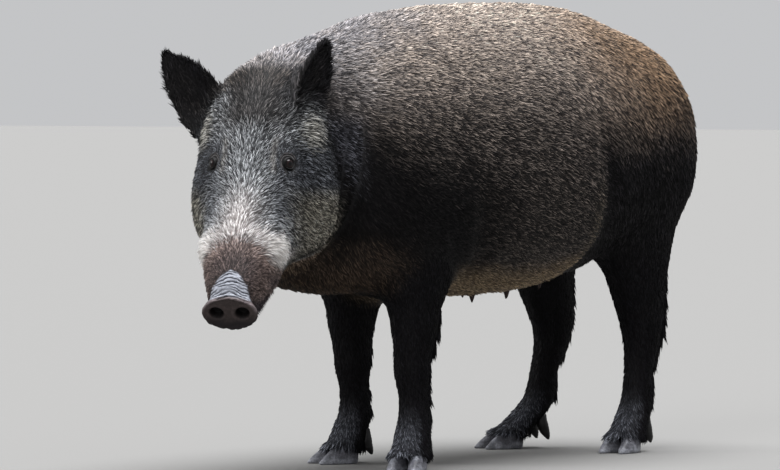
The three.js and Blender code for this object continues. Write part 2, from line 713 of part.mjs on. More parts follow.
// The origin is on the floor, under the middle of the boar's box.
const box = new THREE.Box3().setFromObject(boar);
boar.position.set(-(box.min.x + box.max.x) / 2, -(box.min.y + box.max.y) / 2, 0);

export default boar;
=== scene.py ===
"""The looks of a life-size wild boar sow: one skin, a coat of mesh tufts, eyes and hooves.

Units are metres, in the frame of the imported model: +X is the boar's left, -Y is forward and +Z is up.
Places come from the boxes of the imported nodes. Lengths marked MM are given in millimetres.
"""

import itertools
import math

import bmesh
import bpy
import numpy as np
from mathutils import Matrix, Vector
from mathutils.bvhtree import BVHTree


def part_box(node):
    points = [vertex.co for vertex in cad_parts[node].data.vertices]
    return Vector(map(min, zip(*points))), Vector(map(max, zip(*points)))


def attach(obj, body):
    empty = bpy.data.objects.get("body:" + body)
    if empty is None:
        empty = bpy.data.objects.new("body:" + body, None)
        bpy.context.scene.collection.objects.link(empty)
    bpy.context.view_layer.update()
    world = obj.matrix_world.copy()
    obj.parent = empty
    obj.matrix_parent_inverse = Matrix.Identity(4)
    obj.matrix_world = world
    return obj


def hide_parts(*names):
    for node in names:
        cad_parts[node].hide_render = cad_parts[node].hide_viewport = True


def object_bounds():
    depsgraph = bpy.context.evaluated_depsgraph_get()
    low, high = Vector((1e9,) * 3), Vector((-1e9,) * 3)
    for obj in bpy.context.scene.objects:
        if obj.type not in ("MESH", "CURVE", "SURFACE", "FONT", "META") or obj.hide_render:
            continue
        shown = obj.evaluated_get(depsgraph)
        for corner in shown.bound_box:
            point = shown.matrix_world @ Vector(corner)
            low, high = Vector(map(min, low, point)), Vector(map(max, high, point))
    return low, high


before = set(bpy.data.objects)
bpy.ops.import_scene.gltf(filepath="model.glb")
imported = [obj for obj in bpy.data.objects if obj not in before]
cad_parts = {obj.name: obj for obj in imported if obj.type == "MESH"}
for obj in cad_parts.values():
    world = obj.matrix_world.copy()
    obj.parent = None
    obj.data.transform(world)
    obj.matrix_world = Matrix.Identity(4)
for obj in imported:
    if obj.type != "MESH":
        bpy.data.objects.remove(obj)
CAD_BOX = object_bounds()

MM = 0.001
VOXEL = 4.8 * MM  # of the remeshed skin
GROWN, GROWN_EAR = 0.7 * MM, 2 * MM  # how far flesh nodes are grown before they are remeshed as one
MOST_TUFTS = 48000  # in one coat piece, at four triangles each
LEGS = [f"{end}_{side}" for end in ("fore", "hind") for side in ("left", "right")]
SIDES = {"left": 1, "right": -1}
UP = np.array([0.0, 0.0, 1.0])
random = np.random.default_rng(7)


# ---------- numbers and arrays


def lengths(vectors):
    return np.linalg.norm(vectors, axis=-1)


def unit(vectors):
    """Vectors of length one."""
    vectors = np.asarray(vectors, float)
    return vectors / np.maximum(np.linalg.norm(vectors, axis=-1, keepdims=True), 1e-9)


def smooth(start, end, value):
    """Rises smoothly from 0 at start to 1 at end. It falls where end is the lower of the two."""
    t = np.clip((np.asarray(value, float) - start) / (end - start), 0, 1)
    return t * t * (3 - 2 * t)


def bump(distance, reach):
    """1 at distance 0, falling smoothly to 0 at reach."""
    return 1 - smooth(0, reach, np.abs(distance))


def mix(a, b, share):
    """Goes from a to b, which are numbers, rows of three, or one row of three for all."""
    a, b, share = np.asarray(a), np.asarray(b), np.asarray(share)
    if share.ndim == 1 and (np.ndim(a) == 2 or np.ndim(b) == 2 or np.shape(a) == (3,)):
        share = share[:, None]
    return a * (1 - share) + b * share


def between(low, rise, fall, high, value):
    """1 from rise to fall, going smoothly to 0 at low and at high."""
    return smooth(low, rise, value) * smooth(high, fall, value)


def nearness(points, centres):
    """How far each point is from the nearest of some centres."""
    return np.min([lengths(points - centre) for centre in centres], axis=0)


def noise(points, size, seed=0):
    """Smooth random numbers from -1 to 1 that change over about the size given."""
    scaled = points / size + 31.7 * (seed + 1)
    cell = np.floor(scaled).astype(np.int64)
    inside = scaled - cell
    inside = inside * inside * (3 - 2 * inside)
    total = np.zeros(len(points))
    for corner in itertools.product((0, 1), repeat=3):
        x, y, z = (cell + corner).T
        key = (x * 73856093) ^ (y * 19349663) ^ (z * 83492791)
        key = (key ^ (key >> 13)) * 1274126177
        value = (key & 0xFFFFFF) / 0xFFFFFF
        weight = np.prod(np.where(corner, inside, 1 - inside), axis=1)
        total += weight * value
    return 2 * total - 1


def colour(red, green, blue):
    """A colour given as it looks on screen, from 0 to 255, as the linear numbers that shaders use."""
    screen = np.array([red, green, blue]) / 255
    return np.where(screen <= 0.04045, screen / 12.92, ((screen + 0.055) / 1.055) ** 2.4)


def grey(level):
    """Levels of grey given as they look on screen, from 0 to 255, as linear numbers."""
    return (level / 255) ** 2.2


def turned(vectors, axis, angle):
    """Vectors turned about one axis each, by an angle each."""
    c, s = np.cos(angle)[:, None], np.sin(angle)[:, None]
    return vectors * c + np.cross(axis, vectors) * s + axis * (axis * vectors).sum(1)[:, None] * (1 - c)


# ---------- places on the boar


def middle(node):
    low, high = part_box(node)
    return np.array((low + high) / 2)


EYES = {side: middle(f"eye_{side}") for side in SIDES}
EYE_RADIUS = (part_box("eye_left")[1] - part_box("eye_left")[0]).z / 2
HEAD_LEFT = unit(EYES["left"] - EYES["right"])
HEAD_AHEAD = np.cross(HEAD_LEFT, UP)
HEAD_TURN = math.atan2(HEAD_AHEAD[0], -HEAD_AHEAD[1])
DISC_AHEAD, DISC_BELOW = 0.156, 0.225  # of the middle between the eyes
DISC_AT = (EYES["left"] + EYES["right"]) / 2 + DISC_AHEAD * HEAD_AHEAD - DISC_BELOW * UP
DISC_PITCH = math.radians(34)
DISC_OUT = HEAD_AHEAD * math.cos(DISC_PITCH) - UP * math.sin(DISC_PITCH)
DISC_UP = HEAD_AHEAD * math.sin(DISC_PITCH) + UP * math.cos(DISC_PITCH)
DISC_HALF = np.array([44, 30.5]) * MM
NOSTRIL = {"out": 20 * MM, "up": 2 * MM, "half": (11 * MM, 10 * MM), "tilt": math.radians(14)}
TEATS = {"ahead": (-0.130, -0.218, -0.312, -0.405, -0.498), "out": 0.046, "radius": 6 * MM, "length": 13 * MM}
FOOT_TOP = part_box("fore_left_lower")[0].z

# The body is measured ahead of the forefeet, with the bend of the neck undone.
FOREFEET_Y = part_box("trunk")[0].y + 0.06
NECK_PIVOT = 0.25
NECK_BEND = (0.11, 0.27)
BELLY, BACK = 0.27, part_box("trunk")[1].z


def on_head(points):
    """Places as (ahead, across, up) from the middle of the snout disc."""
    away = points - DISC_AT
    return np.column_stack([away @ HEAD_AHEAD, away @ HEAD_LEFT, away @ UP])


def on_disc(points):
    """Places as (across, up the disc's face, out of it) from its middle."""
    away = points - DISC_AT
    return np.column_stack([away @ HEAD_LEFT, away @ DISC_UP, away @ DISC_OUT])


def on_body(points):
    """Places as (ahead, across, up) with the bend of the neck undone, and how far each is turned."""
    flat = points[:, :2] - np.array([0, FOREFEET_Y - NECK_PIVOT])
    turn = np.zeros(len(points))
    for _ in range(4):
        c, s = np.cos(turn), np.sin(turn)
        across = c * flat[:, 0] + s * flat[:, 1]
        ahead = NECK_PIVOT - (c * flat[:, 1] - s * flat[:, 0])
        turn = HEAD_TURN * smooth(*NECK_BEND, ahead)
    return np.column_stack([ahead, across, points[:, 2]]), turn


def from_body(directions, turn):
    """Directions given as (ahead, across, up) along the body, in the model's frame."""
    ahead, across, up = directions.T
    c, s = np.cos(turn), np.sin(turn)
    return np.column_stack([c * across + s * ahead, s * across - c * ahead, up])


def from_head(directions):
    ahead, across, up = directions.T
    return ahead[:, None] * HEAD_AHEAD + across[:, None] * HEAD_LEFT + up[:, None] * UP


# ---------- meshes


def numbers_of(items, name, width, kind=float):
    """One attribute of all the items of a mesh, one row for each."""
    numbers = np.empty(len(items) * width, kind)
    items.foreach_get(name, numbers)
    return numbers.reshape(-1, width)


def corners_of(mesh):
    return numbers_of(mesh.vertices, "co", 3)


def normals_of(mesh):
    return numbers_of(mesh.vertex_normals, "vector", 3)


def edges_of(mesh):
    return numbers_of(mesh.edges, "vertices", 2, np.int64)


def triangles_of(mesh):
    mesh.calc_loop_triangles()
    return numbers_of(mesh.loop_triangles, "vertices", 3, np.int32)


def put_corners(mesh, corners):
    mesh.vertices.foreach_set("co", np.ascontiguousarray(corners, np.float32).ravel())
    mesh.update()


def node_corners(node):
    return corners_of(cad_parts[node].data)


def ear_axis(side):
    """The root of an ear, the direction to its tip, and its length."""
    corners = node_corners(f"ear_{side}")
    tip = corners[np.argmax(corners[:, 2])]
    root = corners[corners[:, 2] < corners[:, 2].min() + 0.03].mean(0)
    return root, unit(tip - root), lengths(tip - root)


def on_ear(points, side):
    """How far places lie along an ear, as a share of its length, and how far off its axis."""
    root, axis, length = ear_axis(side)
    away = points - root
    along = away @ axis
    return along / length, lengths(away - along[:, None] * axis)


def mesh_of(form, name):
    """A bmesh as a mesh. The bmesh is freed."""
    mesh = bpy.data.meshes.new(name)
    form.to_mesh(mesh)
    form.free()
    return mesh


def node_form(node):
    """A node's mesh as a bmesh, with its faces joined."""
    form = bmesh.new()
    form.from_mesh(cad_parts[node].data)
    bmesh.ops.remove_doubles(form, verts=form.verts, dist=0.01 * MM)
    return form


def add_object(name, data):
    thing = bpy.data.objects.new(name, data)
    bpy.context.scene.collection.objects.link(thing)
    return thing


def add_piece(name, mesh, material, slot, *replaced):
    """A smooth piece of the boar, with the nodes that it stands for."""
    mesh.polygons.foreach_set("use_smooth", np.ones(len(mesh.polygons), bool))
    mesh.materials.append(material)
    piece = add_object(name, mesh)
    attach(piece, "root")
    if replaced:
        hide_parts(*replaced)


def with_modifier(mesh, kind, **settings):
    """A new mesh with one modifier applied."""
    thing = add_object("work", mesh)
    modifier = thing.modifiers.new("work", kind)
    for name, value in settings.items():
        setattr(modifier, name, value)
    graph = bpy.context.evaluated_depsgraph_get()
    made = bpy.data.meshes.new_from_object(thing.evaluated_get(graph))
    bpy.data.objects.remove(thing)
    return made


class Neighbours:
    """Which corners of a mesh are joined by an edge."""

    def __init__(self, mesh):
        edges = edges_of(mesh)
        both = np.concatenate([edges, edges[:, ::-1]])
        order = np.argsort(both[:, 0], kind="stable")
        self.others = both[order, 1]
        self.starts = np.searchsorted(both[order, 0], np.arange(len(mesh.vertices)))
        self.counts = np.diff(np.append(self.starts, len(both)))[:, None]

    def smoothed(self, values, rounds, share=0.5):
        """Values drawn towards the mean of their neighbours, by one share or by one for each corner."""
        share = np.broadcast_to(np.reshape(share, (-1, 1)), (len(values), 1))
        for _ in range(rounds):
            mean = np.add.reduceat(values[self.others], self.starts, axis=0) / self.counts
            values = values + share * (mean - values)
        return values


def joined_flesh():
    """The flesh nodes as one mesh, each grown enough to close the thin gaps between them."""
    whole = bmesh.new()
    for name in FLESH:
        part = node_form(name)
        part.normal_update()
        grow = GROWN_EAR if name.startswith("ear") else GROWN
        moved = [v.co + v.normal * grow for v in part.verts]
        for v, co in zip(part.verts, moved):
            v.co = co
        mesh = mesh_of(part, name)
        whole.from_mesh(mesh)
        bpy.data.meshes.remove(mesh)
    for eye in EYES.values():
        place = Matrix.Translation(Vector(eye))
        radius = EYE_RADIUS + 1.5 * MM
        bmesh.ops.create_uvsphere(whole, u_segments=24, v_segments=16, radius=radius, matrix=place)
    return mesh_of(whole, "flesh")


# ---------- regions of the body

REGIONS = ("trunk", "neck", "head", "disc", "ear", "tail", "leg", "foot")
BY_REGION = {
    "rounding": (1, 1, 0.12, 0.1, 0.06, 0.08, 0.3, 0.1),  # how far the remeshed skin is smoothed
    "depth": (5, 5, 2.8, 0, 2.6, 3, 3, 2),  # of the coat, in millimetres
    "length": (15, 15, 13, 3, 9, 14, 12, 10),  # of the hair, in millimetres
    "width": (0.9, 0.9, 0.9, 0.7, 0.8, 1.1, 1.0, 0.9),  # of a tuft, in millimetres
    "lift": (8, 8, 10, 10, 10, 10, 6, 6),  # of the hair off the skin, in degrees
    "per_cm2": (18, 21, 36, 0, 36, 22, 17, 26),  # tufts on a square centimetre
    "dark": (0.64, 0.62, 0.63, 0.3, 0.75, 0.7, 0.7, 0.6),  # the share of hairs that are dark to their tips
}


def region_of(node):
    if node in ("head", "lower_jaw"):
        return "head"
    if node == "snout_disc":
        return "disc"
    if node.endswith("_upper"):
        return "leg"
    if node.endswith("_lower"):
        return "foot"
    return node.split("_")[0]


FLESH = [n for n in sorted(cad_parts) if "claw" not in n and not n.startswith("eye")]


def region_shares(corners, neighbours):
    """How far each corner belongs to each region, blended where regions meet."""
    points, faces, regions = [], [], []
    for name in FLESH:
        part = node_corners(name)
        triangles = triangles_of(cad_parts[name].data) + sum(map(len, points))
        points.append(part)
        faces.append(triangles)
        regions += [REGIONS.index(region_of(name))] * len(triangles)
    tree = BVHTree.FromPolygons(np.concatenate(points).tolist(), np.concatenate(faces).tolist())
    nearest = [tree.find_nearest(corner)[2] for corner in corners.tolist()]
    shares = np.eye(len(REGIONS))[np.array(regions)[nearest]]
    return neighbours.smoothed(shares, rounds=16)


class Place:
    """Where points of the skin are, in the coordinates that the coat and its colours are told in."""

    def __init__(self, points, normals, shares, stray=0):
        self.points, self.normals, self.shares = points, normals, shares
        self.stray = stray  # how far single hairs stray over a marking's edge: about -2 to 2
        self.body, self.turn = on_body(points)
        self.ahead, self.across, self.up = self.body.T
        self.head = on_head(points)
        self.height = np.clip((self.up - BELLY) / (BACK - BELLY), 0, 1)
        self.eye_distance = nearness(points, EYES.values())
        self.facing_up = normals[:, 2]
        self.facing_side = np.abs(normals @ HEAD_LEFT)

    def share(self, *regions):
        return sum(self.shares[:, REGIONS.index(region)] for region in regions)

    def told(self, name):
        """A number for each point, out of those for the regions."""
        return self.shares @ np.array(BY_REGION[name])


# ---------- the skin's forms

EYE_OPENING = {"half_long": 9.0 * MM, "half_high": 6.5 * MM, "lid": 1.3 * MM, "tilt": math.radians(-24)}
MOUTH = np.array([[-30, -15], [-62, 14], [-100, 42], [-146, 66]]) * MM  # (ahead, up) from the disc
JAW_CORNER = (-0.30, 0.12)  # where the line between cheek and throat goes on to
BARE_SNOUT = np.array(  # its half width at each height over the disc's middle
    [[20, 31], [30, 30], [40, 27], [46, 23], [52, 19], [59, 15], [63, 10], [69, -6]]
) * MM


def bare_snout(head):
    """1 on the hairless skin just behind the disc, which narrows up the snout."""
    ahead, across, up = head.T
    half = np.interp(up, BARE_SNOUT[:, 0], BARE_SNOUT[:, 1])
    ragged = 2.5 * MM * noise(head, 8 * MM, 18) + 2 * MM * noise(head, 3 * MM, 19)
    inside = smooth(3 * MM, -3 * MM, np.abs(across) - half + ragged)
    return inside * smooth(-54 * MM, -36 * MM, ahead)


def distance_to_path(points, path):
    """Distance in a plane to a path of points, and how far along the path the nearest place is."""
    least, along = np.full(len(points), np.inf), np.zeros(len(points))
    for i, (a, b) in enumerate(zip(path[:-1], path[1:])):
        t = np.clip((points - a) @ (b - a) / ((b - a) @ (b - a)), 0, 1)
        distance = lengths(points - a - t[:, None] * (b - a))
        along = np.where(distance < least, i + t, along)
        least = np.minimum(least, distance)
    return least, along / (len(path) - 1)


def eye_frame(side):
    """The eye's own directions: towards its front corner, up its face and out of it."""
    out = unit(0.6 * HEAD_AHEAD + 0.78 * SIDES[side] * HEAD_LEFT + 0.15 * UP)
    level = unit(np.cross(UP, out)) * SIDES[side] * -1
    upward = unit(np.cross(out, level)) * (1 if np.cross(out, level)[2] > 0 else -1)
    c, s = math.cos(EYE_OPENING["tilt"]), math.sin(EYE_OPENING["tilt"])
    return c * level + s * upward, c * upward - s * level, out


def shape_eyes(points):
    """Closes the skin round each eye as lids, with an almond opening, folds round it and a tear line."""
    points = points.copy()
    for side, eye in EYES.items():
        front, upward, out = eye_frame(side)
        away = points - eye
        near = lengths(away)
        u, v, w = away @ front, away @ upward, away @ out
        facing = smooth(-2 * MM, 5 * MM, w)
        almond = np.abs(u / EYE_OPENING["half_long"]) ** 1.8 + np.abs(v / EYE_OPENING["half_high"]) ** 1.6
        radius = EYE_RADIUS + mix(-3 * MM, EYE_OPENING["lid"], smooth(0.8, 1.06, almond))
        reach = np.hypot(u, v)
        hold = smooth(19 * MM, 11 * MM, reach) * facing * smooth(30 * MM, 24 * MM, near)
        aim = eye + unit(away) * radius[:, None]
        points += hold[:, None] * (aim - points)
        fold = bump(reach - 12.2 * MM, 1.9 * MM) * smooth(-2 * MM, 4 * MM, v) * 1.6 * MM
        fold += bump(reach - 15.6 * MM, 1.8 * MM) * smooth(0, 5 * MM, v) * 1.3 * MM
        fold += bump(reach - 13 * MM, 2.2 * MM) * smooth(-1 * MM, -4 * MM, v) * 1.1 * MM
        tear = tear_line(u, v, reach) * 2 * MM
        rim = bump(np.sqrt(almond) - 1.12, 0.16) * 0.7 * MM
        raised = (rim - fold - tear) * facing * smooth(34 * MM, 26 * MM, near)
        points += raised[:, None] * unit(away)
    return points


def wrinkles(place):
    """The wrinkled skin behind the disc, from -1 in a groove to 1 on a fold. The folds arch over the disc."""
    ahead, across, up = place.head.T
    along = up - 0.5 * ahead + 9 * across**2
    along += 4 * MM * noise(place.points, 13 * MM, 16) + 1.2 * MM * noise(place.points, 4 * MM, 20)
    stretched = place.head * np.array([1, 0.3, 1])
    broken = smooth(-0.7, 0.1, noise(stretched, 6 * MM, 21))
    groove = np.abs(np.sin(math.pi * along / (5.6 * MM)))
    return 1 - 2 * broken * (1 - smooth(0.1, 0.75, groove)) - 0.35 * (1 + noise(stretched, 1.8 * MM, 17))


def face_relief(place):
    """How far the skin of the face stands out from the plain form."""
    ahead, across, up = place.head.T
    side = np.abs(across)
    relief = np.zeros(len(ahead))
    distance, along = distance_to_path(place.head[:, [0, 2]], MOUTH)
    at_side = smooth(8 * MM, 20 * MM, side)
    relief -= bump(distance, 4 * MM) * 4.5 * MM * at_side * smooth(1, 0.85, along)
    relief += bump(distance - 8 * MM, 7 * MM) * 2 * MM * at_side * smooth(1, 0.6, along)
    relief += bare_snout(place.head) * 1.1 * MM * wrinkles(place)
    furrow = bump(side - (22 * MM - 0.12 * ahead), 15 * MM) * (up > 0.05)
    relief -= furrow * 1.8 * MM * between(-150 * MM, -110 * MM, -70 * MM, -40 * MM, ahead)
    relief -= bump(side, 16 * MM) * 1.2 * MM * smooth(-120 * MM, -160 * MM, ahead) * (place.facing_up > 0)
    return relief * place.share("head", "disc")


def nostril_rings(across, up):
    """For each nostril, how far places on the disc are from its middle: 1 is on its edge."""
    for side in (1, -1):
        x, y = across - side * NOSTRIL["out"], up - NOSTRIL["up"]
        c, s = math.cos(side * NOSTRIL["tilt"]), math.sin(side * NOSTRIL["tilt"])
        yield np.hypot((x * c + y * s) / NOSTRIL["half"][0], (y * c - x * s) / NOSTRIL["half"][1])


def disc_reach(across, up):
    """How far places on the disc's face are from its middle: 1 is on its rim, which is flatter below."""
    high = DISC_HALF[1] * np.where(up < 0, 1.06, 1.0)
    return (np.abs(across / DISC_HALF[0]) ** 1.75 + np.abs(up / high) ** 2.1) ** 0.5


def round_disc(points):
    """Draws the remeshed disc out to its true rim, and makes its face even."""
    across, up, out = on_disc(points).T
    reach = disc_reach(across, up)
    near = smooth(-15 * MM, -9 * MM, out) * smooth(1.35, 1.25, reach) * (out < 15 * MM)
    sectors, angle = 40, np.arctan2(up, across)
    sector = np.floor((angle / (2 * math.pi) + 0.5) * sectors).astype(int) % sectors
    rim = np.array([reach[(sector == i) & (near > 0.9)].max() for i in range(sectors)])
    middles = ((np.arange(sectors) + 0.5) / sectors - 0.5) * 2 * math.pi
    at_rim = np.interp(angle, middles, rim, period=2 * math.pi)
    grow = mix(1, 1 / at_rim, near * smooth(0.45, 0.85, reach / at_rim))
    face = smooth(-7 * MM, -3 * MM, out) * near * smooth(1.0, 0.9, reach / at_rim)
    level = mix(out, -2.5 * MM * reach**3, face)
    moved = np.column_stack([across * grow, up * grow, level]) - np.column_stack([across, up, out])
    return points + moved[:, :1] * HEAD_LEFT + moved[:, 1:2] * DISC_UP + moved[:, 2:] * DISC_OUT


def disc_relief(points):
    """Moves the skin of the disc: nostrils with raised edges, a cleft above them, and a raised rim."""
    points = round_disc(points)
    across, up, out = on_disc(points).T
    near = smooth(-22 * MM, -8 * MM, out) * (np.hypot(across, up) < 0.07)
    push = np.zeros(len(points))
    for ring in nostril_rings(across, up):
        push -= smooth(1.1, 0.62, ring) * 13 * MM
        push += bump(ring - 1.3, 0.3) * 0.8 * MM
    push -= smooth(0, 1, bump(across, 7 * MM)) * smooth(-12 * MM, 8 * MM, up) * 0.8 * MM
    push += bump(disc_reach(across, up) - 0.92, 0.14) * 1.4 * MM
    return points + (push * near)[:, None] * DISC_OUT


def thigh_edge(place):
    """How far a place lies ahead of the thigh's front edge."""
    return place.ahead + 0.375 - 0.10 * (place.up - 0.4)


def body_relief(place):
    """Folds and hollows of the trunk and legs that show through the coat."""
    relief = np.zeros(len(place.points))
    ahead, side, up = place.ahead, np.abs(place.across), place.up
    flank = bump(thigh_edge(place) + 0.012, 0.05) * between(0.27, 0.31, 0.46, 0.60, up)
    relief -= flank * 7 * MM * place.share("trunk", "leg")
    elbow = bump(ahead + 0.085 - 0.25 * (up - 0.36), 0.04) * between(0.28, 0.34, 0.4, 0.52, up)
    relief -= elbow * 6 * MM * place.share("trunk", "leg") * smooth(0.08, 0.12, side)
    beside_neck = place.share("neck", "head") * smooth(0.66, 0.5, up) * smooth(0.04, 0.09, side)
    for crease in (0.185, 0.225):
        relief -= bump(ahead - crease + 0.22 * (up - 0.5), 0.013) * 3 * MM * beside_neck
    return relief + place.share("trunk", "neck") * 2 * MM * noise(place.points, 0.09, 3)


def subdivide_near(mesh, wanted):
    """Splits the edges of which both ends are wanted."""
    form = bmesh.new()
    form.from_mesh(mesh)
    form.edges.ensure_lookup_table()
    edges = [form.edges[i] for i in np.flatnonzero(wanted[edges_of(mesh)].all(1)).tolist()]
    bmesh.ops.subdivide_edges(form, edges=edges, cuts=1, use_grid_fill=True)
    form.to_mesh(mesh)
    form.free()
    mesh.update()


def teat_distance(body):
    """How far places of the underside are from the nearest teat's middle."""
    ahead, across, up = body.T
    places = np.column_stack([ahead, np.abs(across)])
    least = nearness(places, [(at, TEATS["out"]) for at in TEATS["ahead"]])
    return np.where(up < 0.32, least, 1.0)


def fineness(points):
    """How many times the skin's edges are halved: 3 at the eyes, 2 on disc and teats, 1 on head and feet."""
    ahead = on_head(points)[:, 0]
    eyes = nearness(points, EYES.values())
    level = ((ahead > -0.29) & (points[:, 2] > 0.2)).astype(int)
    level[points[:, 2] < 0.09] = 1
    level[(eyes < 42 * MM) | (ahead > -55 * MM) | (teat_distance(on_body(points)[0]) < 12 * MM)] = 2
    level[eyes < 27 * MM] = 3
    return level


def make_skin():
    mesh = with_modifier(joined_flesh(), "REMESH", mode="VOXEL", voxel_size=VOXEL, adaptivity=0)
    neighbours = Neighbours(mesh)
    points = corners_of(mesh)
    shares = region_shares(points, neighbours)
    place = Place(points, normals_of(mesh), shares)
    points = neighbours.smoothed(points, rounds=60, share=0.5 * place.told("rounding"))
    put_corners(mesh, points)
    for region, column in zip(REGIONS, shares.T.astype(np.float32)):
        layer = mesh.attributes.new(region, "FLOAT", "POINT")
        layer.data.foreach_set("value", np.ascontiguousarray(column))
    for level in (1, 2, 3):
        subdivide_near(mesh, fineness(corners_of(mesh)) >= level)
        points = corners_of(mesh)
        share = np.where(fineness(points) >= level, 0.5, 0)
        points = Neighbours(mesh).smoothed(points, rounds=3, share=share)
        put_corners(mesh, points)
    shares = read_shares(mesh)
    place = Place(points, normals_of(mesh), shares)
    depth = place.told("depth") * MM
    snout = 0.85 * place.share("head") * smooth(0.10, 0.03, -place.head[:, 0])
    depth *= 1 - snout
    relief = face_relief(place) + body_relief(place)
    points = points + place.normals * (relief - depth)[:, None]
    hang = smooth(TEATS["radius"] + 1.5 * MM, 1.5 * MM, teat_distance(place.body)) * (place.facing_up < 0)
    points[:, 2] -= TEATS["length"] * hang
    put_corners(mesh, shape_eyes(disc_relief(points)))
    mesh = with_modifier(mesh, "TRIANGULATE")
    return mesh, read_shares(mesh)


def read_shares(mesh):
    columns = [numbers_of(mesh.attributes[region].data, "value", 1, np.float32) for region in REGIONS]
    shares = np.concatenate(columns, axis=1)
    return shares / np.maximum(shares.sum(1, keepdims=True), 1e-6)


# ---------- the lie of the coat


def flow(place):
    """The direction that the hair lies in at each point, before it is laid on the skin."""
    side, across = np.sign(place.across), place.head[:, 1]
    rump = smooth(-0.15, -0.6, place.ahead) * smooth(0.25, 0.6, place.height)
    body = mix((-1, 0, -0.3), (-0.55, 0, -1), rump)
    buttock = smooth(-0.36, -0.44, place.ahead) * smooth(0.6, 0.4, place.height)
    body = mix(body, (-0.3, 0, -1), buttock)
    throat = place.share("neck") * smooth(0.75, 0.3, place.height)
    body = from_body(mix(body, (-1, 0, -0.7), throat), place.turn)

    outward = np.sign(across) * smooth(0, 30 * MM, np.abs(across))
    face = np.array([-1, 0, 0.35]) + outward[:, None] * np.array([0, 0.45, 0])
    face = mix(face, (-1, 0, -0.45), smooth(0.45, 0.85, place.facing_side))
    face = from_head(mix(face, (-1, 0, -0.2), smooth(-0.1, -0.5, place.facing_up)))
    for eye in EYES.values():
        away = place.points - eye
        face += unit(away) * (1.1 * bump(lengths(away), 60 * MM))[:, None]

    ear = mix(ear_axis("right")[1], ear_axis("left")[1], smooth(-0.01, 0.01, across))
    down = from_body(np.array([-0.22, 0, -1]) + side[:, None] * np.array([0, 0.1, 0]), place.turn)
    total = np.zeros((len(place.points), 3))
    for regions, direction in (
        (("trunk", "neck"), body), (("head", "disc"), face), (("ear",), ear), (("tail", "leg", "foot"), down)
    ):
        total += place.share(*regions)[:, None] * direction
    return total


def ear_rim(place):
    """1 on the rims of the ears, where the hair makes a fringe."""
    rims = np.zeros(len(place.points))
    for side, sign in SIDES.items():
        corners = node_corners(f"ear_{side}")
        across_blade = np.linalg.eigh(np.cov((corners - corners.mean(0)).T))[1][:, 1]
        along, _ = on_ear(place.points, side)
        rim = smooth(0.35, 0.8, np.abs(place.normals @ across_blade)) * smooth(0.9, 0.4, along)
        rims += rim * (place.head[:, 1] * sign > 0)
    return rims * place.share("ear")


def ear_root(place):
    """1 on the shaggy dark hair round the foot of each ear."""
    least = np.full(len(place.points), 1.0)
    for side in SIDES:
        root, axis, _ = ear_axis(side)
        away = place.points - root
        along = np.clip(away @ axis, 0, 75 * MM)
        least = np.minimum(least, lengths(away - along[:, None] * axis))
    return smooth(50 * MM, 30 * MM, least + 3 * MM * place.stray) * smooth(0.30, 0.33, place.head[:, 2])


def ear_inside(place):
    """1 on the paler hair within the ear, along the middle of its hollow side."""
    shares = np.zeros(len(place.points))
    for side, sign in SIDES.items():
        along, off_axis = on_ear(place.points, side)
        here = (place.head[:, 1] * sign > 0) * smooth(0.0, 0.4, place.normals @ HEAD_AHEAD)
        shares += here * smooth(0.85, 0.35, along) * smooth(30 * MM, 10 * MM, off_axis)
    return shares


def laid(directions, normals):
    """Directions laid flat on the skin."""
    return unit(directions - normals * (directions * normals).sum(1)[:, None])


def muzzle(place):
    """1 on the short-haired muzzle, falling to 0 at the cheeks and forehead."""
    ahead, across, _ = place.head.T
    return place.share("head", "disc") * smooth(-0.16, -0.09, ahead + 0.1 * np.abs(across))


def crown(place):
    """1 on the bushy hair between and behind the ears."""
    away = (place.head - np.array([-0.25, 0, 0.375])) / np.array([0.1, 0.1, 0.07])
    return smooth(1.3, 0.5, lengths(away)) * place.share("head", "neck")


def near_pair(place, centre, radii, start, full, stray):
    """1 near two mirrored places of the head, (ahead, out, up) from the disc, falling to 0 at start radii."""
    away = place.head * np.where(place.head[:, 1:2] < 0, [1, -1, 1], [1, 1, 1]) - np.array(centre)
    reach = lengths(away / np.array(radii)) + stray * place.stray
    return smooth(start, full, reach) * place.share("head")


def brow(place):
    """1 on the bushy hair above the outer half of each eye."""
    return near_pair(place, (-0.20, 0.084, 0.280), (0.05, 0.019, 0.030), 1.4, 0.2, 0.2)


def whiskers(place):
    """1 on the white patches at both sides of the muzzle."""
    return near_pair(place, (-0.080, 0.054, 0.097), (0.035, 0.027, 0.022), 1.4, 0.2, 0.22)


def teats(place):
    """1 on the bare teats."""
    return smooth(TEATS["radius"] + 4 * MM, TEATS["radius"] + 1 * MM, teat_distance(place.body))


def leg_fringe(place):
    """1 on the back edge of the legs, where the hair is longer."""
    behind = smooth(0.5, 0.9, place.normals[:, 1])
    return behind * place.share("leg", "foot") * between(0.06, 0.10, 0.26, 0.34, place.up)


def coronet(place, full=6 * MM):
    """1 on the hair that hangs over the hooves."""
    return smooth(FOOT_TOP + 16 * MM, FOOT_TOP + full, place.up)


def hair_length(place):
    length = place.told("length")
    length = mix(length, 12, muzzle(place))
    length = mix(length, 7, muzzle(place) * smooth(-0.06, -0.02, place.head[:, 0]))
    length = mix(length, 4, place.share("head") * smooth(38 * MM, 20 * MM, place.eye_distance))
    length += 5 * crown(place) + 4 * brow(place) + 6 * whiskers(place)
    length = mix(length, 15, place.share("trunk") * smooth(0.25, 0.05, place.height))
    length += 20 * leg_fringe(place) * smooth(-0.5, 0.5, noise(place.points, 0.014, 28))
    length += 6 * ear_rim(place) + 8 * ear_root(place)
    length = mix(length, 19, coronet(place))
    brush = place.share("tail") * smooth(0.5, 0.42, place.up)
    return (length + 14 * brush) * MM


def hair_width(place):
    return mix(place.told("width"), 0.9, muzzle(place)) * MM


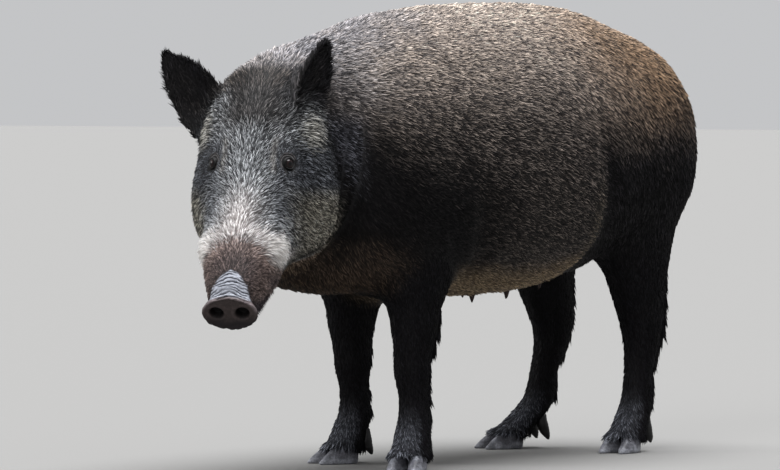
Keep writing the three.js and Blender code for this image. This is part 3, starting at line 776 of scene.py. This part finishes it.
def hair_lift(place):
    """The angle at which the hair stands off the skin."""
    lift = mix(place.told("lift"), 11, muzzle(place))
    lift += 14 * coronet(place) + 6 * crown(place) + 8 * brow(place) + 6 * whiskers(place)
    lift += 14 * leg_fringe(place) + 12 * ear_rim(place) + 10 * ear_root(place)
    return np.radians(lift)


def hair_density(place):
    """Tufts for each square metre."""
    density = place.told("per_cm2")
    density = mix(density, 44, muzzle(place))
    density = mix(density, 50, place.share("head") * smooth(40 * MM, 22 * MM, place.eye_distance))
    density *= 1 - smooth(0.5, 0.95, bare_snout(place.head) * place.share("head", "disc"))
    density *= mix(1, 0.55, smooth(-0.3, -0.8, place.facing_up) * place.share("trunk", "neck"))
    for side in SIDES:
        u, v, reach = around_eye(place.points, side)
        bare = mix(9 * MM, 14 * MM, smooth(-6 * MM, 2 * MM, v))
        density *= smooth(0, 6 * MM, reach - bare) * (1 - tear_line(u, v, reach))
    density *= np.where((place.share("disc") > 0.35) | (on_disc(place.points)[:, 2] > -17 * MM), 0, 1)
    density *= np.where((place.up < FOOT_TOP + 8 * MM) & (place.facing_up < -0.6), 0, 1)
    density *= mix(1, 2.2, coronet(place, 5 * MM))
    density *= 1 - smooth(0.3, 0.6, teats(place))
    return density * 1e4


# ---------- markings, shared by skin and coat


class Hair:
    """The colours of the hair at its root and at its tip. Patches change them one after another."""

    def __init__(self, root, tip):
        self.root, self.tip = colour(*root), colour(*tip)

    def patch(self, share, root, tip):
        """Goes to other colours, given as they look on screen."""
        self.blend(share, colour(*root), colour(*tip))

    def blend(self, share, root, tip):
        self.root, self.tip = mix(self.root, root, share), mix(self.tip, tip, share)


def markings(place):
    """The colour of the hair at its root and at its tip."""
    drift = 0.10 * noise(place.points, 0.13, 1) + 0.05 * noise(place.points, 0.04, 2) + 0.03 * place.stray
    hair = Hair((9, 9, 11), (166, 153, 144))
    back_markings(hair, place, drift)
    side_markings(hair, place, drift)
    head_markings(hair, place, drift)
    leg_markings(hair, place)
    ear_markings(hair, place, drift)
    hair.patch(teats(place), (50, 40, 38), (50, 40, 38))
    return hair.root, hair.tip


def back_markings(hair, place, drift):
    """The pale tips of the back, the browner rump, the greyer neck and the blue-grey withers."""
    ahead, height = place.ahead, place.height
    top = smooth(0.47, 0.98, height + drift - 0.04 * smooth(-0.2, -0.45, ahead))
    hair.patch(top, (66, 62, 62), (244, 224, 206))
    rump = smooth(-0.24, -0.60, ahead + 0.4 * drift) * smooth(0.40, 0.75, height + 0.5 * drift)
    rump *= 1 - 0.5 * smooth(0.84, 0.97, height + 0.3 * drift)
    hair.patch(0.8 * rump, (26, 20, 16), (192, 154, 116))
    mane = smooth(0.0, 0.2, ahead + 0.5 * drift) * smooth(0.56, 0.9, height + drift)
    hair.patch(0.75 * mane, (26, 26, 30), (194, 193, 198))
    crest = height + 0.45 * np.clip(ahead, 0, 0.3) + 0.5 * drift
    withers = smooth(-0.22, -0.02, ahead + 0.6 * drift) * smooth(0.80, 0.98, crest)
    hair.patch(0.7 * withers, (32, 34, 39), (150, 154, 166))


def side_markings(hair, place, drift):
    """The black shoulder and thigh, and the paler belly, throat and fold of the flank."""
    ahead, height = place.ahead, place.height
    lowered = height - 1.1 * np.clip(ahead - 0.02, 0, 0.24)
    shoulder = smooth(-0.22, 0.0, ahead + 0.3 * drift) * smooth(0.58, 0.30, lowered + 0.6 * drift)
    hair.patch(0.95 * shoulder, (2, 2, 3), (24, 23, 28))
    # Behind the jaws: dark hair, partly painted shadow cast by the head.
    hair.patch(behind_jaw_dark_and_shadow(place), (12, 12, 15), (140, 141, 152))
    belly = smooth(0.15, 0.06, height + 0.3 * drift) * smooth(0.0, -0.09, ahead) * place.share("trunk")
    hair.patch(belly, (68, 56, 43), (204, 180, 146))
    thigh = smooth(0.014, -0.014, thigh_edge(place) + 0.06 * drift)
    hair.patch(0.96 * thigh * smooth(0.59, 0.46, place.up + 0.3 * drift), (3, 3, 4), (56, 54, 60))
    fold = bump(thigh_edge(place) - 0.022, 0.028) * between(0.05, 0.12, 0.38, 0.48, place.up)
    hair.patch(0.65 * fold * place.share("trunk", "leg"), (30, 26, 21), (186, 166, 136))
    throat = smooth(0.05, 0.12, ahead + 0.3 * drift) * smooth(0.40, 0.33, place.up + 0.3 * drift)
    hair.patch(0.85 * throat, (24, 20, 17), (124, 103, 86))


def head_markings(hair, place, drift):
    """The pale jowl, the face, and a dark line along the edge of the cheek, painted as the shadow under the
    cheek.
    """
    ahead, _, up = place.head.T
    over_edge = mouth_side(place)
    beside_jaw = between(-0.36, -0.30, -0.13, -0.09, ahead)
    jowl = bump(over_edge + 0.030, 0.034) * beside_jaw * smooth(-0.31, -0.24, ahead)
    hair.patch(0.85 * jowl, (56, 46, 37), (214, 182, 150))
    inside_face = ahead + 0.316 - 0.145 * (up - 0.042) + 0.12 * drift
    hair.blend(place.share("head", "disc") * smooth(0, 0.05, inside_face), *face_markings(place, drift))
    # The dark line along the mouth and jaw is painted shadow under the cheek, laid over its groove.
    hair.patch(0.9 * bump(over_edge, 0.013) * beside_jaw, (6, 5, 5), (24, 21, 20))


def leg_markings(hair, place):
    """The black legs and tail, with grey hair in front above the hooves, paled further there as a painted
    highlight.
    """
    black = np.clip(place.share("leg") * smooth(0.40, 0.30, place.up) + place.share("foot", "tail"), 0, 1)
    hair.patch(black, (5, 4, 6), (38, 37, 42))
    # Pale blue-grey on the front of the pasterns: grey hair, with a painted highlight where they face
    # forward.
    pastern_grey_and_highlight = place.share("foot") * smooth(0.115, 0.05, place.up) * smooth(0.2, 0.8, -place.normals[:, 1])
    hair.patch(0.8 * pastern_grey_and_highlight, (26, 27, 32), (164, 168, 180))


def ear_markings(hair, place, drift):
    """The black ears, paler inside and at their rims."""
    hair.patch(0.9 * ear_root(place), (4, 4, 6), (36, 36, 42))
    ear = place.share("ear") * smooth(0.30, 0.34, place.head[:, 2] + 0.1 * drift)
    hair.patch(ear, (5, 4, 5), (34, 32, 36))
    hair.patch(ear * ear_inside(place), (9, 8, 9), (60, 56, 56))
    hair.patch(0.6 * ear_rim(place), (14, 13, 13), (92, 88, 88))


def behind_jaw_dark_and_shadow(place):
    """1 behind the ears and the jaws, where the cheek's pale hair ends: black hair there, darkened further as
    painted shadow cast by the head.
    """
    ahead, across, up = place.head.T
    ruff = -0.266 - 0.55 * np.clip(0.262 - up, 0, 0.3)
    behind = smooth(0.014, -0.016, ahead - ruff + 0.006 * place.stray) * smooth(-0.38, -0.29, ahead)
    beside = between(0.06, 0.10, 0.12, 0.16, np.abs(across))
    return behind * beside * between(0.02, 0.10, 0.27, 0.33, up)


def face_markings(place, drift):
    """The colours of the face's hair, grizzled with a pale band round a brown-grey muzzle."""
    hair = Hair((15, 15, 18), (200, 203, 206))
    brow_markings(hair, place, drift)
    cheek_markings(hair, place, drift)
    muzzle_markings(hair, place, drift)
    return hair.root, hair.tip


def brow_markings(hair, place, drift):
    """Darker temples, eye sockets and forelock, with pale folds and brows."""
    side, up = np.abs(place.head[:, 1]), place.head[:, 2]
    temple = smooth(50 * MM, 76 * MM, side + 0.05 * drift) * between(0.15, 0.19, 0.27, 0.31, up)
    hair.patch(0.8 * temple, (8, 9, 12), (118, 122, 132))
    hollow = bump(side - 0.048, 0.026) * between(0.122, 0.155, 0.21, 0.25, up)
    hair.patch(0.6 * hollow, (10, 11, 14), (122, 126, 135))
    socket = smooth(48 * MM, 18 * MM, place.eye_distance + 0.05 * drift)
    hair.patch(0.8 * socket, (8, 9, 12), (104, 107, 115))
    for eye_side in SIDES:
        hair.patch(0.9 * tear_line(*around_eye(place.points, eye_side)), (6, 6, 7), (22, 22, 25))
    inner_fold = bump(side - 0.036, 0.009) * between(0.20, 0.22, 0.25, 0.27, up)
    hair.patch(0.75 * inner_fold, (50, 48, 48), (200, 196, 190))
    hair.patch(smooth(0.318, 0.352, up + 0.15 * drift), (13, 12, 12), (116, 106, 97))
    forelock = smooth(0.256, 0.296, up + 0.15 * drift) * smooth(0.40, 0.35, up + 0.1 * drift)
    forelock *= smooth(66 * MM, 18 * MM, side + 0.15 * drift)
    hair.patch(0.92 * forelock, (10, 9, 9), (82, 76, 73))
    hair.patch(0.85 * brow(place), (30, 29, 27), (240, 236, 224))


def cheek_markings(hair, place, drift):
    """The pale ruff of the cheek, and a pale tuft before it."""
    ahead, _, up = place.head.T
    ruff = smooth(0.4, 0.8, place.facing_side) * smooth(-0.13, -0.19, ahead + 0.2 * drift)
    hair.patch(0.9 * ruff * smooth(0.20, 0.16, up), (22, 21, 19), (244, 236, 216))
    tuft = near_pair(place, (-0.18, 0.090, 0.138), (0.06, 0.034, 0.036), 1.3, 0.3, 0.2)
    hair.patch(0.8 * tuft, (38, 36, 33), (244, 238, 220))


def muzzle_markings(hair, place, drift):
    """A white border over the brown muzzle, with a dusky bridge, buff sides and dark lips."""
    ahead, across, up = place.head.T
    side = np.abs(across)
    over = up - (118 * MM - 28 * MM * (side / 0.054) ** 2) + 0.06 * drift + 3 * MM * place.stray
    streak = np.exp(-((side / 0.026) ** 2)) * between(-8 * MM, 6 * MM, 12 * MM, 84 * MM, over)
    border = 0.9 * bump(over - 7 * MM, 20 * MM) * smooth(80 * MM, 60 * MM, side)
    white = np.maximum(np.maximum(0.85 * streak, 1.2 * whiskers(place)), border) * smooth(-0.19, -0.13, ahead)
    white_root = mix(colour(118, 111, 109), colour(186, 181, 177), whiskers(place))
    hair.blend(np.minimum(1.1 * white, 1), white_root, colour(255, 251, 248))
    brown = smooth(1 * MM, -12 * MM, over + 9 * MM * (side / 0.054) ** 2) * smooth(-0.13, -0.10, ahead)
    brown *= 1 - 0.9 * whiskers(place)
    hair.patch(brown, (52, 43, 41), (172, 152, 145))
    dusk = smooth(-10 * MM, -36 * MM, over) * smooth(46 * MM, 26 * MM, side + 0.05 * drift) * brown
    hair.patch(0.85 * dusk, (24, 20, 20), (104, 90, 88))
    buff = bump(over + 12 * MM, 18 * MM) * smooth(14 * MM, 36 * MM, side) * brown
    hair.patch(0.7 * buff, (96, 80, 75), (220, 198, 188))
    lips = smooth(24 * MM, 2 * MM, up - 0.25 * (-0.03 - ahead) - 0.01) * smooth(-0.12, -0.07, ahead)
    corner = smooth(68 * MM, 46 * MM, up) * smooth(42 * MM, 54 * MM, side) * smooth(-0.11, -0.08, ahead)
    hair.patch(0.85 * np.maximum(lips, corner), (26, 22, 27), (84, 77, 86))
    under = smooth(-0.008, -0.045, mouth_side(place)) * smooth(-0.03, -0.09, ahead)
    hair.patch(0.9 * under, (62, 51, 42), (228, 198, 168))


def mouth_side(place):
    """How far a place of the head lies above the mouth's line, which goes on to the corner of the jaw."""
    line = np.array([JAW_CORNER, *MOUTH[::-1]])
    return place.head[:, 2] - np.interp(place.head[:, 0], line[:, 0], line[:, 1])


def dark_share(place):
    """The share of the hairs that are dark to their tips."""
    body = place.share("trunk", "neck")
    told = place.told("dark")
    told = told + (0.08 * smooth(0.52, 0.36, place.height) - 0.46 * smooth(0.42, 0.95, place.height)) * body
    told = mix(told, 0.45, muzzle(place))
    told = told - 0.45 * whiskers(place) - 0.25 * brow(place) - 0.4 * smooth(0.22, 0.06, place.height) * body
    return np.clip(told + 0.08 * noise(place.points, 0.05, 8), 0.05, 0.95)


def skin_colour(place):
    """The skin's colour: its hair's roots where it is covered, and its own where it is bare, with painted
    shade in the nostrils and painted light and shade on the lids.
    """
    tint = mix(*markings(place), 0.08)
    folds = 0.5 + 0.5 * np.clip(wrinkles(place), -1, 1) + 0.1 * noise(place.points, 3 * MM, 15)
    wrinkled = mix(colour(30, 30, 35), colour(142, 145, 154), np.clip(folds, 0, 1))
    tint = mix(tint, wrinkled, bare_snout(place.head) * place.share("head", "disc"))
    across, up, out = on_disc(place.points).T
    disc = smooth(-9 * MM, -4 * MM, out) * (np.hypot(across, up) < 0.06)
    tint = mix(tint, disc_colour(place.points), disc)
    # The nostrils are painted near black inside: painted shade in the holes.
    for ring in nostril_rings(across, up):
        tint = mix(tint, colour(7, 5, 5), smooth(1.2, 0.85, ring) * (out > -30 * MM) * (out < 20 * MM))
    return mix(tint, *lid_tone_and_painted_light(place))


def disc_colour(points):
    """The colour of the disc's face: darker below, with a paler upper rim."""
    across, up, _ = on_disc(points).T
    below = smooth(-2 * MM, -22 * MM, up + 6 * MM * noise(points, 0.015, 23))
    rim = bump(disc_reach(across, up) - 0.98, 0.1) * smooth(-5 * MM, 12 * MM, up)
    face = mix(mix(colour(50, 43, 42), colour(26, 22, 24), below), colour(84, 76, 77), rim)
    return face * (1 + 0.25 * noise(points, 4 * MM, 24))[:, None]


def around_eye(points, side):
    """Places near an eye, seen from straight before it: towards its front corner, up, and how far off.

    Places that aren't near are infinitely far off.
    """
    front, upward, _ = eye_frame(side)
    away = points - EYES[side]
    u, v = away @ front, away @ upward
    return u, v, np.where(lengths(away) < 32 * MM, np.hypot(u, v), np.inf)


def tear_line(u, v, reach):
    """1 along the line that runs down the face from an eye's front corner."""
    line = bump(v + 0.75 * (u - EYE_OPENING["half_long"]), 6 * MM)
    return line * between(5 * MM, 9 * MM, 22 * MM, 28 * MM, u) * np.isfinite(reach)


# Grey levels of the bare skin round the eye, out from its middle: dark lids, with pale arcs above painted as
# highlights on the fold crests, dark between them as painted shade in the creases, and darker below as
# painted shadow under the lower lid.
LIDS = {
    "reach": np.array([0, 7.5, 9.0, 11.8, 12.8, 13.8, 15.0, 16.0, 17.2, 18.4, 20]) * MM,
    "above": np.array([9, 9, 20, 30, 20, 112, 34, 20, 92, 46, 34]),
    "below": np.array([5, 5, 7, 8, 9, 11, 14, 18, 24, 28, 30]),
}


def lid_tone_and_painted_light(place):
    """The colour of the bare lids, and the share of it: dark lid skin, with painted light and shade of the
    folds above the eye (two thin pale arcs painted as highlights on their crests, painted shade in the
    creases and the front corner), and darker skin below the eye painted as the lower lid's shadow.
    """
    tint = np.zeros((len(place.points), 3))
    share = np.zeros(len(place.points))
    for side in SIDES:
        u, v, reach = around_eye(place.points, side)
        reach = reach + 0.4 * MM * noise(place.points, 4 * MM, 25)
        below, above = (np.interp(reach, LIDS["reach"], LIDS[half]) for half in ("below", "above"))
        tone = mix(below, above, smooth(-2 * MM, 3 * MM, v))
        off_corner = np.abs(v + 0.35 * (u - EYE_OPENING["half_long"]))
        # Darker towards the front corner: painted shade in the corner.
        tone = tone * (1 - 0.75 * smooth(5 * MM, 9 * MM, u) * smooth(4 * MM, 0, off_corner))
        tint = np.where((reach < 21 * MM)[:, None], grey(tone)[:, None] * np.array([1.0, 0.94, 0.96]), tint)
        share = np.maximum(share, smooth(20 * MM, 17 * MM, reach))
        tear = tear_line(u, v, reach)
        tint, share = mix(tint, colour(9, 8, 10), tear), np.maximum(share, tear)
    return tint, share


# ---------- materials


def shader(name, roughness, specular=0.4):
    material = bpy.data.materials.new(name)
    material.use_nodes = True
    nodes = material.node_tree.nodes
    principled = nodes["Principled BSDF"]
    principled.inputs["Roughness"].default_value = roughness
    principled.inputs["Specular IOR Level"].default_value = specular
    return material, nodes, material.node_tree.links, principled


def add_node(nodes, kind, inputs=None):
    node = nodes.new(f"ShaderNode{kind}")
    for name, value in (inputs or {}).items():
        node.inputs[name].default_value = value
    return node


def painted(name, roughness, grain, strength, specular=0.4, height=0.3 * MM):
    """A material that takes its colour from the mesh and adds a fine grain to colour and surface."""
    material, nodes, links, principled = shader(name, roughness, specular)
    tint = add_node(nodes, "VertexColor")
    tint.layer_name = "tint"
    place = add_node(nodes, "TexCoord")
    speck = add_node(nodes, "TexNoise", {"Scale": 1 / grain, "Detail": 3})
    links.new(place.outputs["Object"], speck.inputs["Vector"])
    contrast = {"From Min": 0.3, "From Max": 0.7, "To Min": 1 - strength, "To Max": 1 + strength}
    level = add_node(nodes, "MapRange", contrast)
    links.new(speck.outputs["Fac"], level.inputs["Value"])
    scaled = add_node(nodes, "VectorMath")
    scaled.operation = "SCALE"
    links.new(tint.outputs["Color"], scaled.inputs[0])
    links.new(level.outputs["Result"], scaled.inputs["Scale"])
    links.new(scaled.outputs["Vector"], principled.inputs["Base Color"])
    relief = add_node(nodes, "Bump", {"Distance": height, "Strength": 0.7})
    links.new(speck.outputs["Fac"], relief.inputs["Height"])
    links.new(relief.outputs["Normal"], principled.inputs["Normal"])
    return material


def paint(mesh, colours):
    """Stores one colour for each corner of a mesh."""
    layer = mesh.color_attributes.new("tint", "FLOAT_COLOR", "POINT")
    with_alpha = np.column_stack([np.clip(colours, 0, 1), np.ones(len(colours))]).astype(np.float32)
    layer.data.foreach_set("color", with_alpha.ravel())


# ---------- the coat


def sample_skin(mesh, shares):
    """Random places on the skin, as many as the coat needs everywhere."""
    points, normals, triangles = corners_of(mesh), normals_of(mesh), triangles_of(mesh)
    density = hair_density(Place(points, normals, shares))
    a, b, c = (points[triangles[:, i]] for i in range(3))
    area = lengths(np.cross(b - a, c - a)) / 2
    expected = np.cumsum(area * density[triangles].mean(1))
    count = int(expected[-1])
    wanted = (np.arange(count) + random.random(count)) * expected[-1] / count
    chosen = triangles[np.minimum(np.searchsorted(expected, wanted), len(triangles) - 1)]
    r, s = np.sqrt(random.random(count)), random.random(count)
    weights = np.column_stack([1 - r, r * (1 - s), r * s])

    def blended(values):
        return np.einsum("ij,ijk->ik", weights, values[chosen])

    stray = random.standard_normal(count)
    return Place(blended(points), unit(blended(normals)), blended(shares), stray)


ROOT_DEPTH = 1.5 * MM  # how deep a tuft's root is buried
WIDEST = 0.42  # how far along a tuft it is widest, and bends


def tuft_corners(place):
    """Four corners for each tuft and their normals: its root, both sides of its middle, and its tip."""
    count = len(place.points)
    n = place.normals
    along = laid(flow(place), n)
    swirl = np.radians(9) * noise(place.points, 0.06, 5)
    swirl += np.radians(9 + 14 * ear_root(place)) * random.standard_normal(count)
    along = turned(along, n, swirl)
    length = hair_length(place) * (1 + 0.1 * noise(place.points, 0.05, 6)) * random.uniform(0.65, 1.2, count)
    width = hair_width(place) * random.uniform(0.7, 1.25, count)
    lift = hair_lift(place) * (1 + 0.15 * noise(place.points, 0.03, 7))
    lift += np.radians(4) * random.standard_normal(count)
    rise = np.clip(lift * 1.6, np.radians(4), 1.2)[:, None]
    settle = np.clip(lift * 0.55, np.radians(-4), 1.0)[:, None]
    across = np.cross(n, along)
    bend = (random.standard_normal(count) * 0.10)[:, None]
    first = along * np.cos(rise) + n * np.sin(rise)
    second = unit(along * np.cos(settle) + n * np.sin(settle) + across * bend)
    long, half = length[:, None], width[:, None] / 2
    root = place.points - n * ROOT_DEPTH
    centre = place.points + first * long * WIDEST
    tip = centre + second * long * (1 - WIDEST)
    corners = np.stack([root, centre + across * half, centre - across * half, tip], axis=1)
    sides = [n, unit(n + 0.7 * across), unit(n - 0.7 * across), unit(n + 0.25 * along)]
    return corners, np.stack(sides, axis=1)


TUFT_FACES = np.array([[0, 2, 1], [3, 1, 2], [0, 1, 3], [0, 3, 2]])
TUFT_PATCH = np.array([[0.5, 0], [0, WIDEST], [1, WIDEST], [0.5, 1]])
PATCH = 0.003  # the size of a tuft's patch of the map
MAP_START, MAP_SPAN = 0.004, 0.988  # where the patches' middles lie on the map


def tuft_colours(place):
    """A colour for each corner of each tuft: dark at the root, with a pale tip on some."""
    count = len(place.points)
    root, tip = markings(place)
    light = random.random(count) > dark_share(place)
    pale = np.where(light, random.uniform(0.25, 1.35, count), random.uniform(0, 0.12, count))
    shade = (1 + 0.12 * random.standard_normal(count))[:, None]
    streaks = noise(place.head * np.array([0.3, 1, 0.25]), 2.6 * MM, 26)
    shade = shade * (1 + 0.45 * streaks * muzzle(place))[:, None]
    end = mix(root, tip, pale) * shade
    middle_tint = mix(root, end, mix(0.16, 0.32, place.share("head", "ear")))
    return np.stack([root * 0.8, middle_tint, middle_tint, end], axis=1)


def chart(place, name):
    """Where each root lies on an unwrap of its region: round it, and along it."""
    points = place.points
    if name.startswith("ear"):
        root, axis, _ = ear_axis(name.split("_")[1])
        side = unit(np.cross(axis, HEAD_AHEAD))
        away = points - root
        behind = (place.normals @ np.cross(side, axis) > 0).astype(float)
        return np.column_stack([away @ side + behind * 0.16, away @ axis])
    if name.startswith("leg") or name == "tail":
        centre = middle("tail")[:2] if name == "tail" else leg_middle(name[4:], points[:, 2])
        away = points[:, :2] - centre
        return np.column_stack([np.arctan2(away[:, 0], away[:, 1]), points[:, 2]])
    if name.startswith("head"):
        tilt = math.radians(52)
        ahead, across, up = place.head.T
        along = ahead * math.cos(tilt) - up * math.sin(tilt)
        out = (ahead + 0.17) * math.sin(tilt) + (up - 0.17) * math.cos(tilt)
        return np.column_stack([np.arctan2(across, out), along])
    return np.column_stack([np.arctan2(place.across, place.up - 0.5), place.ahead])


def leg_axis(leg, axis):
    """Heights and places of a leg's middle, from the ground up."""
    places = [middle(f"{leg}_claw_inner"), middle(f"{leg}_lower"), middle(f"{leg}_upper")]
    return [p[2] for p in places], [p[axis] for p in places]


def leg_middle(leg, heights):
    return np.column_stack([np.interp(heights, *leg_axis(leg, axis)) for axis in (0, 1)])


def coat_groups(place):
    """Which tufts go into which piece."""
    strongest = np.array(REGIONS)[np.argmax(place.shares, axis=1)]
    left = place.head[:, 1] > 0
    groups = {"trunk": strongest == "trunk", "neck": strongest == "neck", "tail": strongest == "tail"}
    groups["head"] = np.isin(strongest, ["head", "disc"])
    for side in SIDES:
        groups[f"ear_{side}"] = (strongest == "ear") & (left == (side == "left"))
    away = [place.points[:, :2] - leg_middle(leg, place.up) for leg in LEGS]
    nearest = np.argmin(lengths(away), axis=0)
    for i, leg in enumerate(LEGS):
        groups[f"leg_{leg}"] = np.isin(strongest, ["leg", "foot"]) & (nearest == i)
    return groups


def make_tufts(name, corners, normals, colours, roots, material):
    """One coat piece out of its tufts. Each is lit mostly as the skin below it is."""
    mesh = bpy.data.meshes.new(name)
    count = len(corners)
    faces = (np.arange(count)[:, None, None] * len(TUFT_PATCH) + TUFT_FACES).reshape(-1)
    mesh.vertices.add(count * len(TUFT_PATCH))
    mesh.loops.add(len(faces))
    mesh.polygons.add(len(faces) // 3)
    mesh.vertices.foreach_set("co", corners.astype(np.float32).ravel())
    mesh.loops.foreach_set("vertex_index", faces.astype(np.int32))
    mesh.polygons.foreach_set("loop_start", np.arange(0, len(faces), 3, dtype=np.int32))
    mesh.polygons.foreach_set("use_smooth", np.ones(len(faces) // 3, bool))
    mesh.update(calc_edges=True)
    low, high = roots.min(0), roots.max(0)
    start = MAP_START + MAP_SPAN * (roots - low) / (high - low)
    patches = (start[:, None] + PATCH * (TUFT_PATCH - 0.5)).reshape(-1, 2)
    layer = mesh.uv_layers.new(name="OFBake")
    layer.uv.foreach_set("vector", patches[faces].astype(np.float32).ravel())
    paint(mesh, colours.reshape(-1, 3))
    mesh.normals_split_custom_set_from_vertices(normals.reshape(-1, 3))
    mesh.materials.append(material)
    return add_object(name, mesh)


def make_coat(mesh, shares):
    place = sample_skin(mesh, shares)
    corners, normals = tuft_corners(place)
    colours = tuft_colours(place)
    material = painted("hair", 0.6, 1.2 * MM, 0.15, specular=0.1, height=0.05 * MM)
    for name, inside in coat_groups(place).items():
        members = np.flatnonzero(inside)
        if not len(members):
            continue
        part = Place(place.points[members], place.normals[members], place.shares[members])
        roots = chart(part, name)
        pieces = math.ceil(len(members) / MOST_TUFTS)
        for i, some in enumerate(np.array_split(np.argsort(roots[:, 1]), pieces)):
            piece_name = f"coat_{name}" + (f"_{i + 1}" if pieces > 1 else "")
            chosen = members[some]
            looks = corners[chosen], normals[chosen], colours[chosen], roots[some]
            piece = make_tufts(piece_name, *looks, material)
            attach(piece, "root")


# ---------- eyes and hooves


def make_eye(side):
    """An eyeball with a bulging cornea."""
    form = bmesh.new()
    bmesh.ops.create_uvsphere(form, u_segments=64, v_segments=48, radius=1)
    mesh = mesh_of(form, f"eyeball_{side}")
    local = unit(corners_of(mesh))
    angle = np.arccos(np.clip(local[:, 2], -1, 1))
    radius = EYE_RADIUS * (0.985 + 0.055 * bump(angle, 0.75))
    turn = np.column_stack(eye_frame(side))
    put_corners(mesh, EYES[side] + (local * radius[:, None]) @ turn.T)
    paint(mesh, eye_colour(local, angle))
    material = painted(f"wet_eye_{side}", 0.08, 2 * MM, 0.05, specular=0.2, height=0)
    add_piece(f"eyeball_{side}", mesh, material, "eye", f"eye_{side}")


def eye_colour(local, angle):
    """A dark brown iris with streaks, an oval pupil and a dark edge."""
    around = np.arctan2(local[:, 1], local[:, 0])
    streak = 0.25 * noise(np.column_stack([around * 4, angle, angle * 0]), 0.3, 9)
    pupil = np.hypot(local[:, 0] / 0.36, local[:, 1] / 0.27)
    tint = colour(25, 13, 12) * (1 + streak[:, None])
    tint = mix(tint, colour(10, 7, 7), smooth(0.46, 0.6, angle))
    tint = mix(tint, colour(24, 18, 17), smooth(0.85, 1.0, angle) * 0.5)
    return mix(tint, colour(5, 4, 4), smooth(1.15, 0.9, pupil) * (local[:, 2] > 0))


CLAW_VOXEL = 1.7 * MM
CLAW_RING = 5 * MM  # from one growth ring to the next


def make_claw(node, material):
    """A claw or dewclaw with rounded edges and growth rings."""
    mesh = mesh_of(node_form(node), node)
    mesh = with_modifier(mesh, "REMESH", mode="VOXEL", voxel_size=CLAW_VOXEL, adaptivity=0)
    points = Neighbours(mesh).smoothed(corners_of(mesh), rounds=7)
    put_corners(mesh, points)
    normals = normals_of(mesh)
    height = points[:, 2] - points[:, 2].min()
    wavy = height + 1.5 * MM * noise(points, 0.02, 11)
    rings = np.sin(2 * math.pi * wavy / CLAW_RING) * 0.2 * MM + 0.7 * MM * noise(points, 0.008, 12)
    wall = smooth(0.75, 0.3, np.abs(normals[:, 2])) * smooth(1 * MM, 4 * MM, height)
    points = points + normals * ((rings + 0.3 * MM) * wall)[:, None]
    points[:, 2] = np.maximum(points[:, 2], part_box(node)[0].z)
    put_corners(mesh, points)
    paint(mesh, claw_colour(node, points, normals, height))
    add_piece(node + "_horn", mesh, material, "horn", node)


def claw_colour(node, points, normals, height):
    """Grey horn with a worn toe, paler in patches where it faces up as a painted highlight. The dewclaws are
    nearly black.
    """
    worn = smooth(0.014, 0.002, height + 0.006 * noise(points, 0.012, 13))
    tint = mix(colour(74, 74, 80), colour(132, 134, 141), worn * 0.7)
    # Paler in patches where the horn faces up: painted highlight on the hoof's top.
    lit_top_highlight = smooth(0.35, 0.9, normals[:, 2]) * smooth(0.008, 0.02, height)
    lit_top_highlight *= smooth(0.3, -0.3, noise(points, 0.012, 27))
    tint = mix(tint, colour(128, 131, 140), lit_top_highlight * 0.7)
    if "dewclaw" in node:
        tint = mix(colour(13, 12, 13), colour(34, 33, 36), worn * 0.5)
    return tint * (1 + 0.4 * noise(points, 0.007, 14) + 0.25 * noise(points, 0.002, 22))[:, None]


# ---------- stage

AIM_FROM_MIDDLE = Vector((0.0236, -0.1163, -0.0037))
CAMERA = {"azimuth": 38, "elevation": 1.5, "distance": 9, "lens": 259.6}
FLOOR = {"half": 60, "colour": (0.17, 0.168, 0.163, 1)}


def make_camera():
    azimuth, elevation = math.radians(CAMERA["azimuth"]), math.radians(CAMERA["elevation"])
    level = math.cos(elevation)
    back = Vector((math.sin(azimuth) * level, -math.cos(azimuth) * level, math.sin(elevation)))
    aim = (CAD_BOX[0] + CAD_BOX[1]) / 2 + AIM_FROM_MIDDLE
    camera = add_object("camera", bpy.data.cameras.new("camera"))
    camera.data.lens = CAMERA["lens"]
    camera.data.clip_end = 120
    camera.location = aim + back * CAMERA["distance"]
    camera.rotation_euler = (-back).to_track_quat("-Z", "Y").to_euler()
    bpy.context.scene.camera = camera


def make_floor():
    form = bmesh.new()
    bmesh.ops.create_grid(form, x_segments=1, y_segments=1, size=FLOOR["half"])
    mesh = mesh_of(form, "floor")
    material, *_, principled = shader("floor", 0.9, 0.1)
    principled.inputs["Base Color"].default_value = FLOOR["colour"]
    mesh.materials.append(material)
    add_object("floor", mesh)


def make_lamp(name, place, strength, softness, tint=(1, 1, 1)):
    """A large soft lamp far off, which lights the boar and the whole floor alike."""
    light = bpy.data.lights.new(name, "SUN")
    light.energy, light.angle, light.color = strength, math.radians(softness), tint
    lamp = add_object(name, light)
    lamp.location = place
    lamp.rotation_euler = Vector(place).to_track_quat("Z", "Y").to_euler()


def make_lights():
    make_lamp("sky", (0.2, 0.6, 4.0), 8.4, 52, (0.97, 0.98, 1))
    make_lamp("front", (1.2, -4.8, 2.2), 1.2, 27)
    make_lamp("right", (-3.6, -2.4, 2.2), 1.15, 23)
    world = bpy.data.worlds.new("studio")
    world.use_nodes = True
    background = world.node_tree.nodes["Background"]
    background.inputs["Color"].default_value = (0.95, 0.96, 0.98, 1)
    background.inputs["Strength"].default_value = 0.58
    bpy.context.scene.world = world
    bpy.context.scene.view_settings.view_transform = "Standard"


# ---------- the whole boar


def make_boar():
    mesh, shares = make_skin()
    place = Place(corners_of(mesh), normals_of(mesh), shares)
    paint(mesh, skin_colour(place))
    for region in REGIONS:
        mesh.attributes.remove(mesh.attributes[region])
    mesh.name = "skin"
    mesh.materials.clear()
    add_piece("skin", mesh, painted("skin", 0.6, 1.6 * MM, 0.3, specular=0.15), "coat", *FLESH)
    make_coat(mesh, shares)
    for side in SIDES:
        make_eye(side)
    horn = painted("horn", 0.5, 3 * MM, 0.3, specular=0.3)
    for node in sorted(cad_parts):
        if "claw" in node:
            make_claw(node, horn)


make_camera()
make_floor()
make_lights()
make_boar()
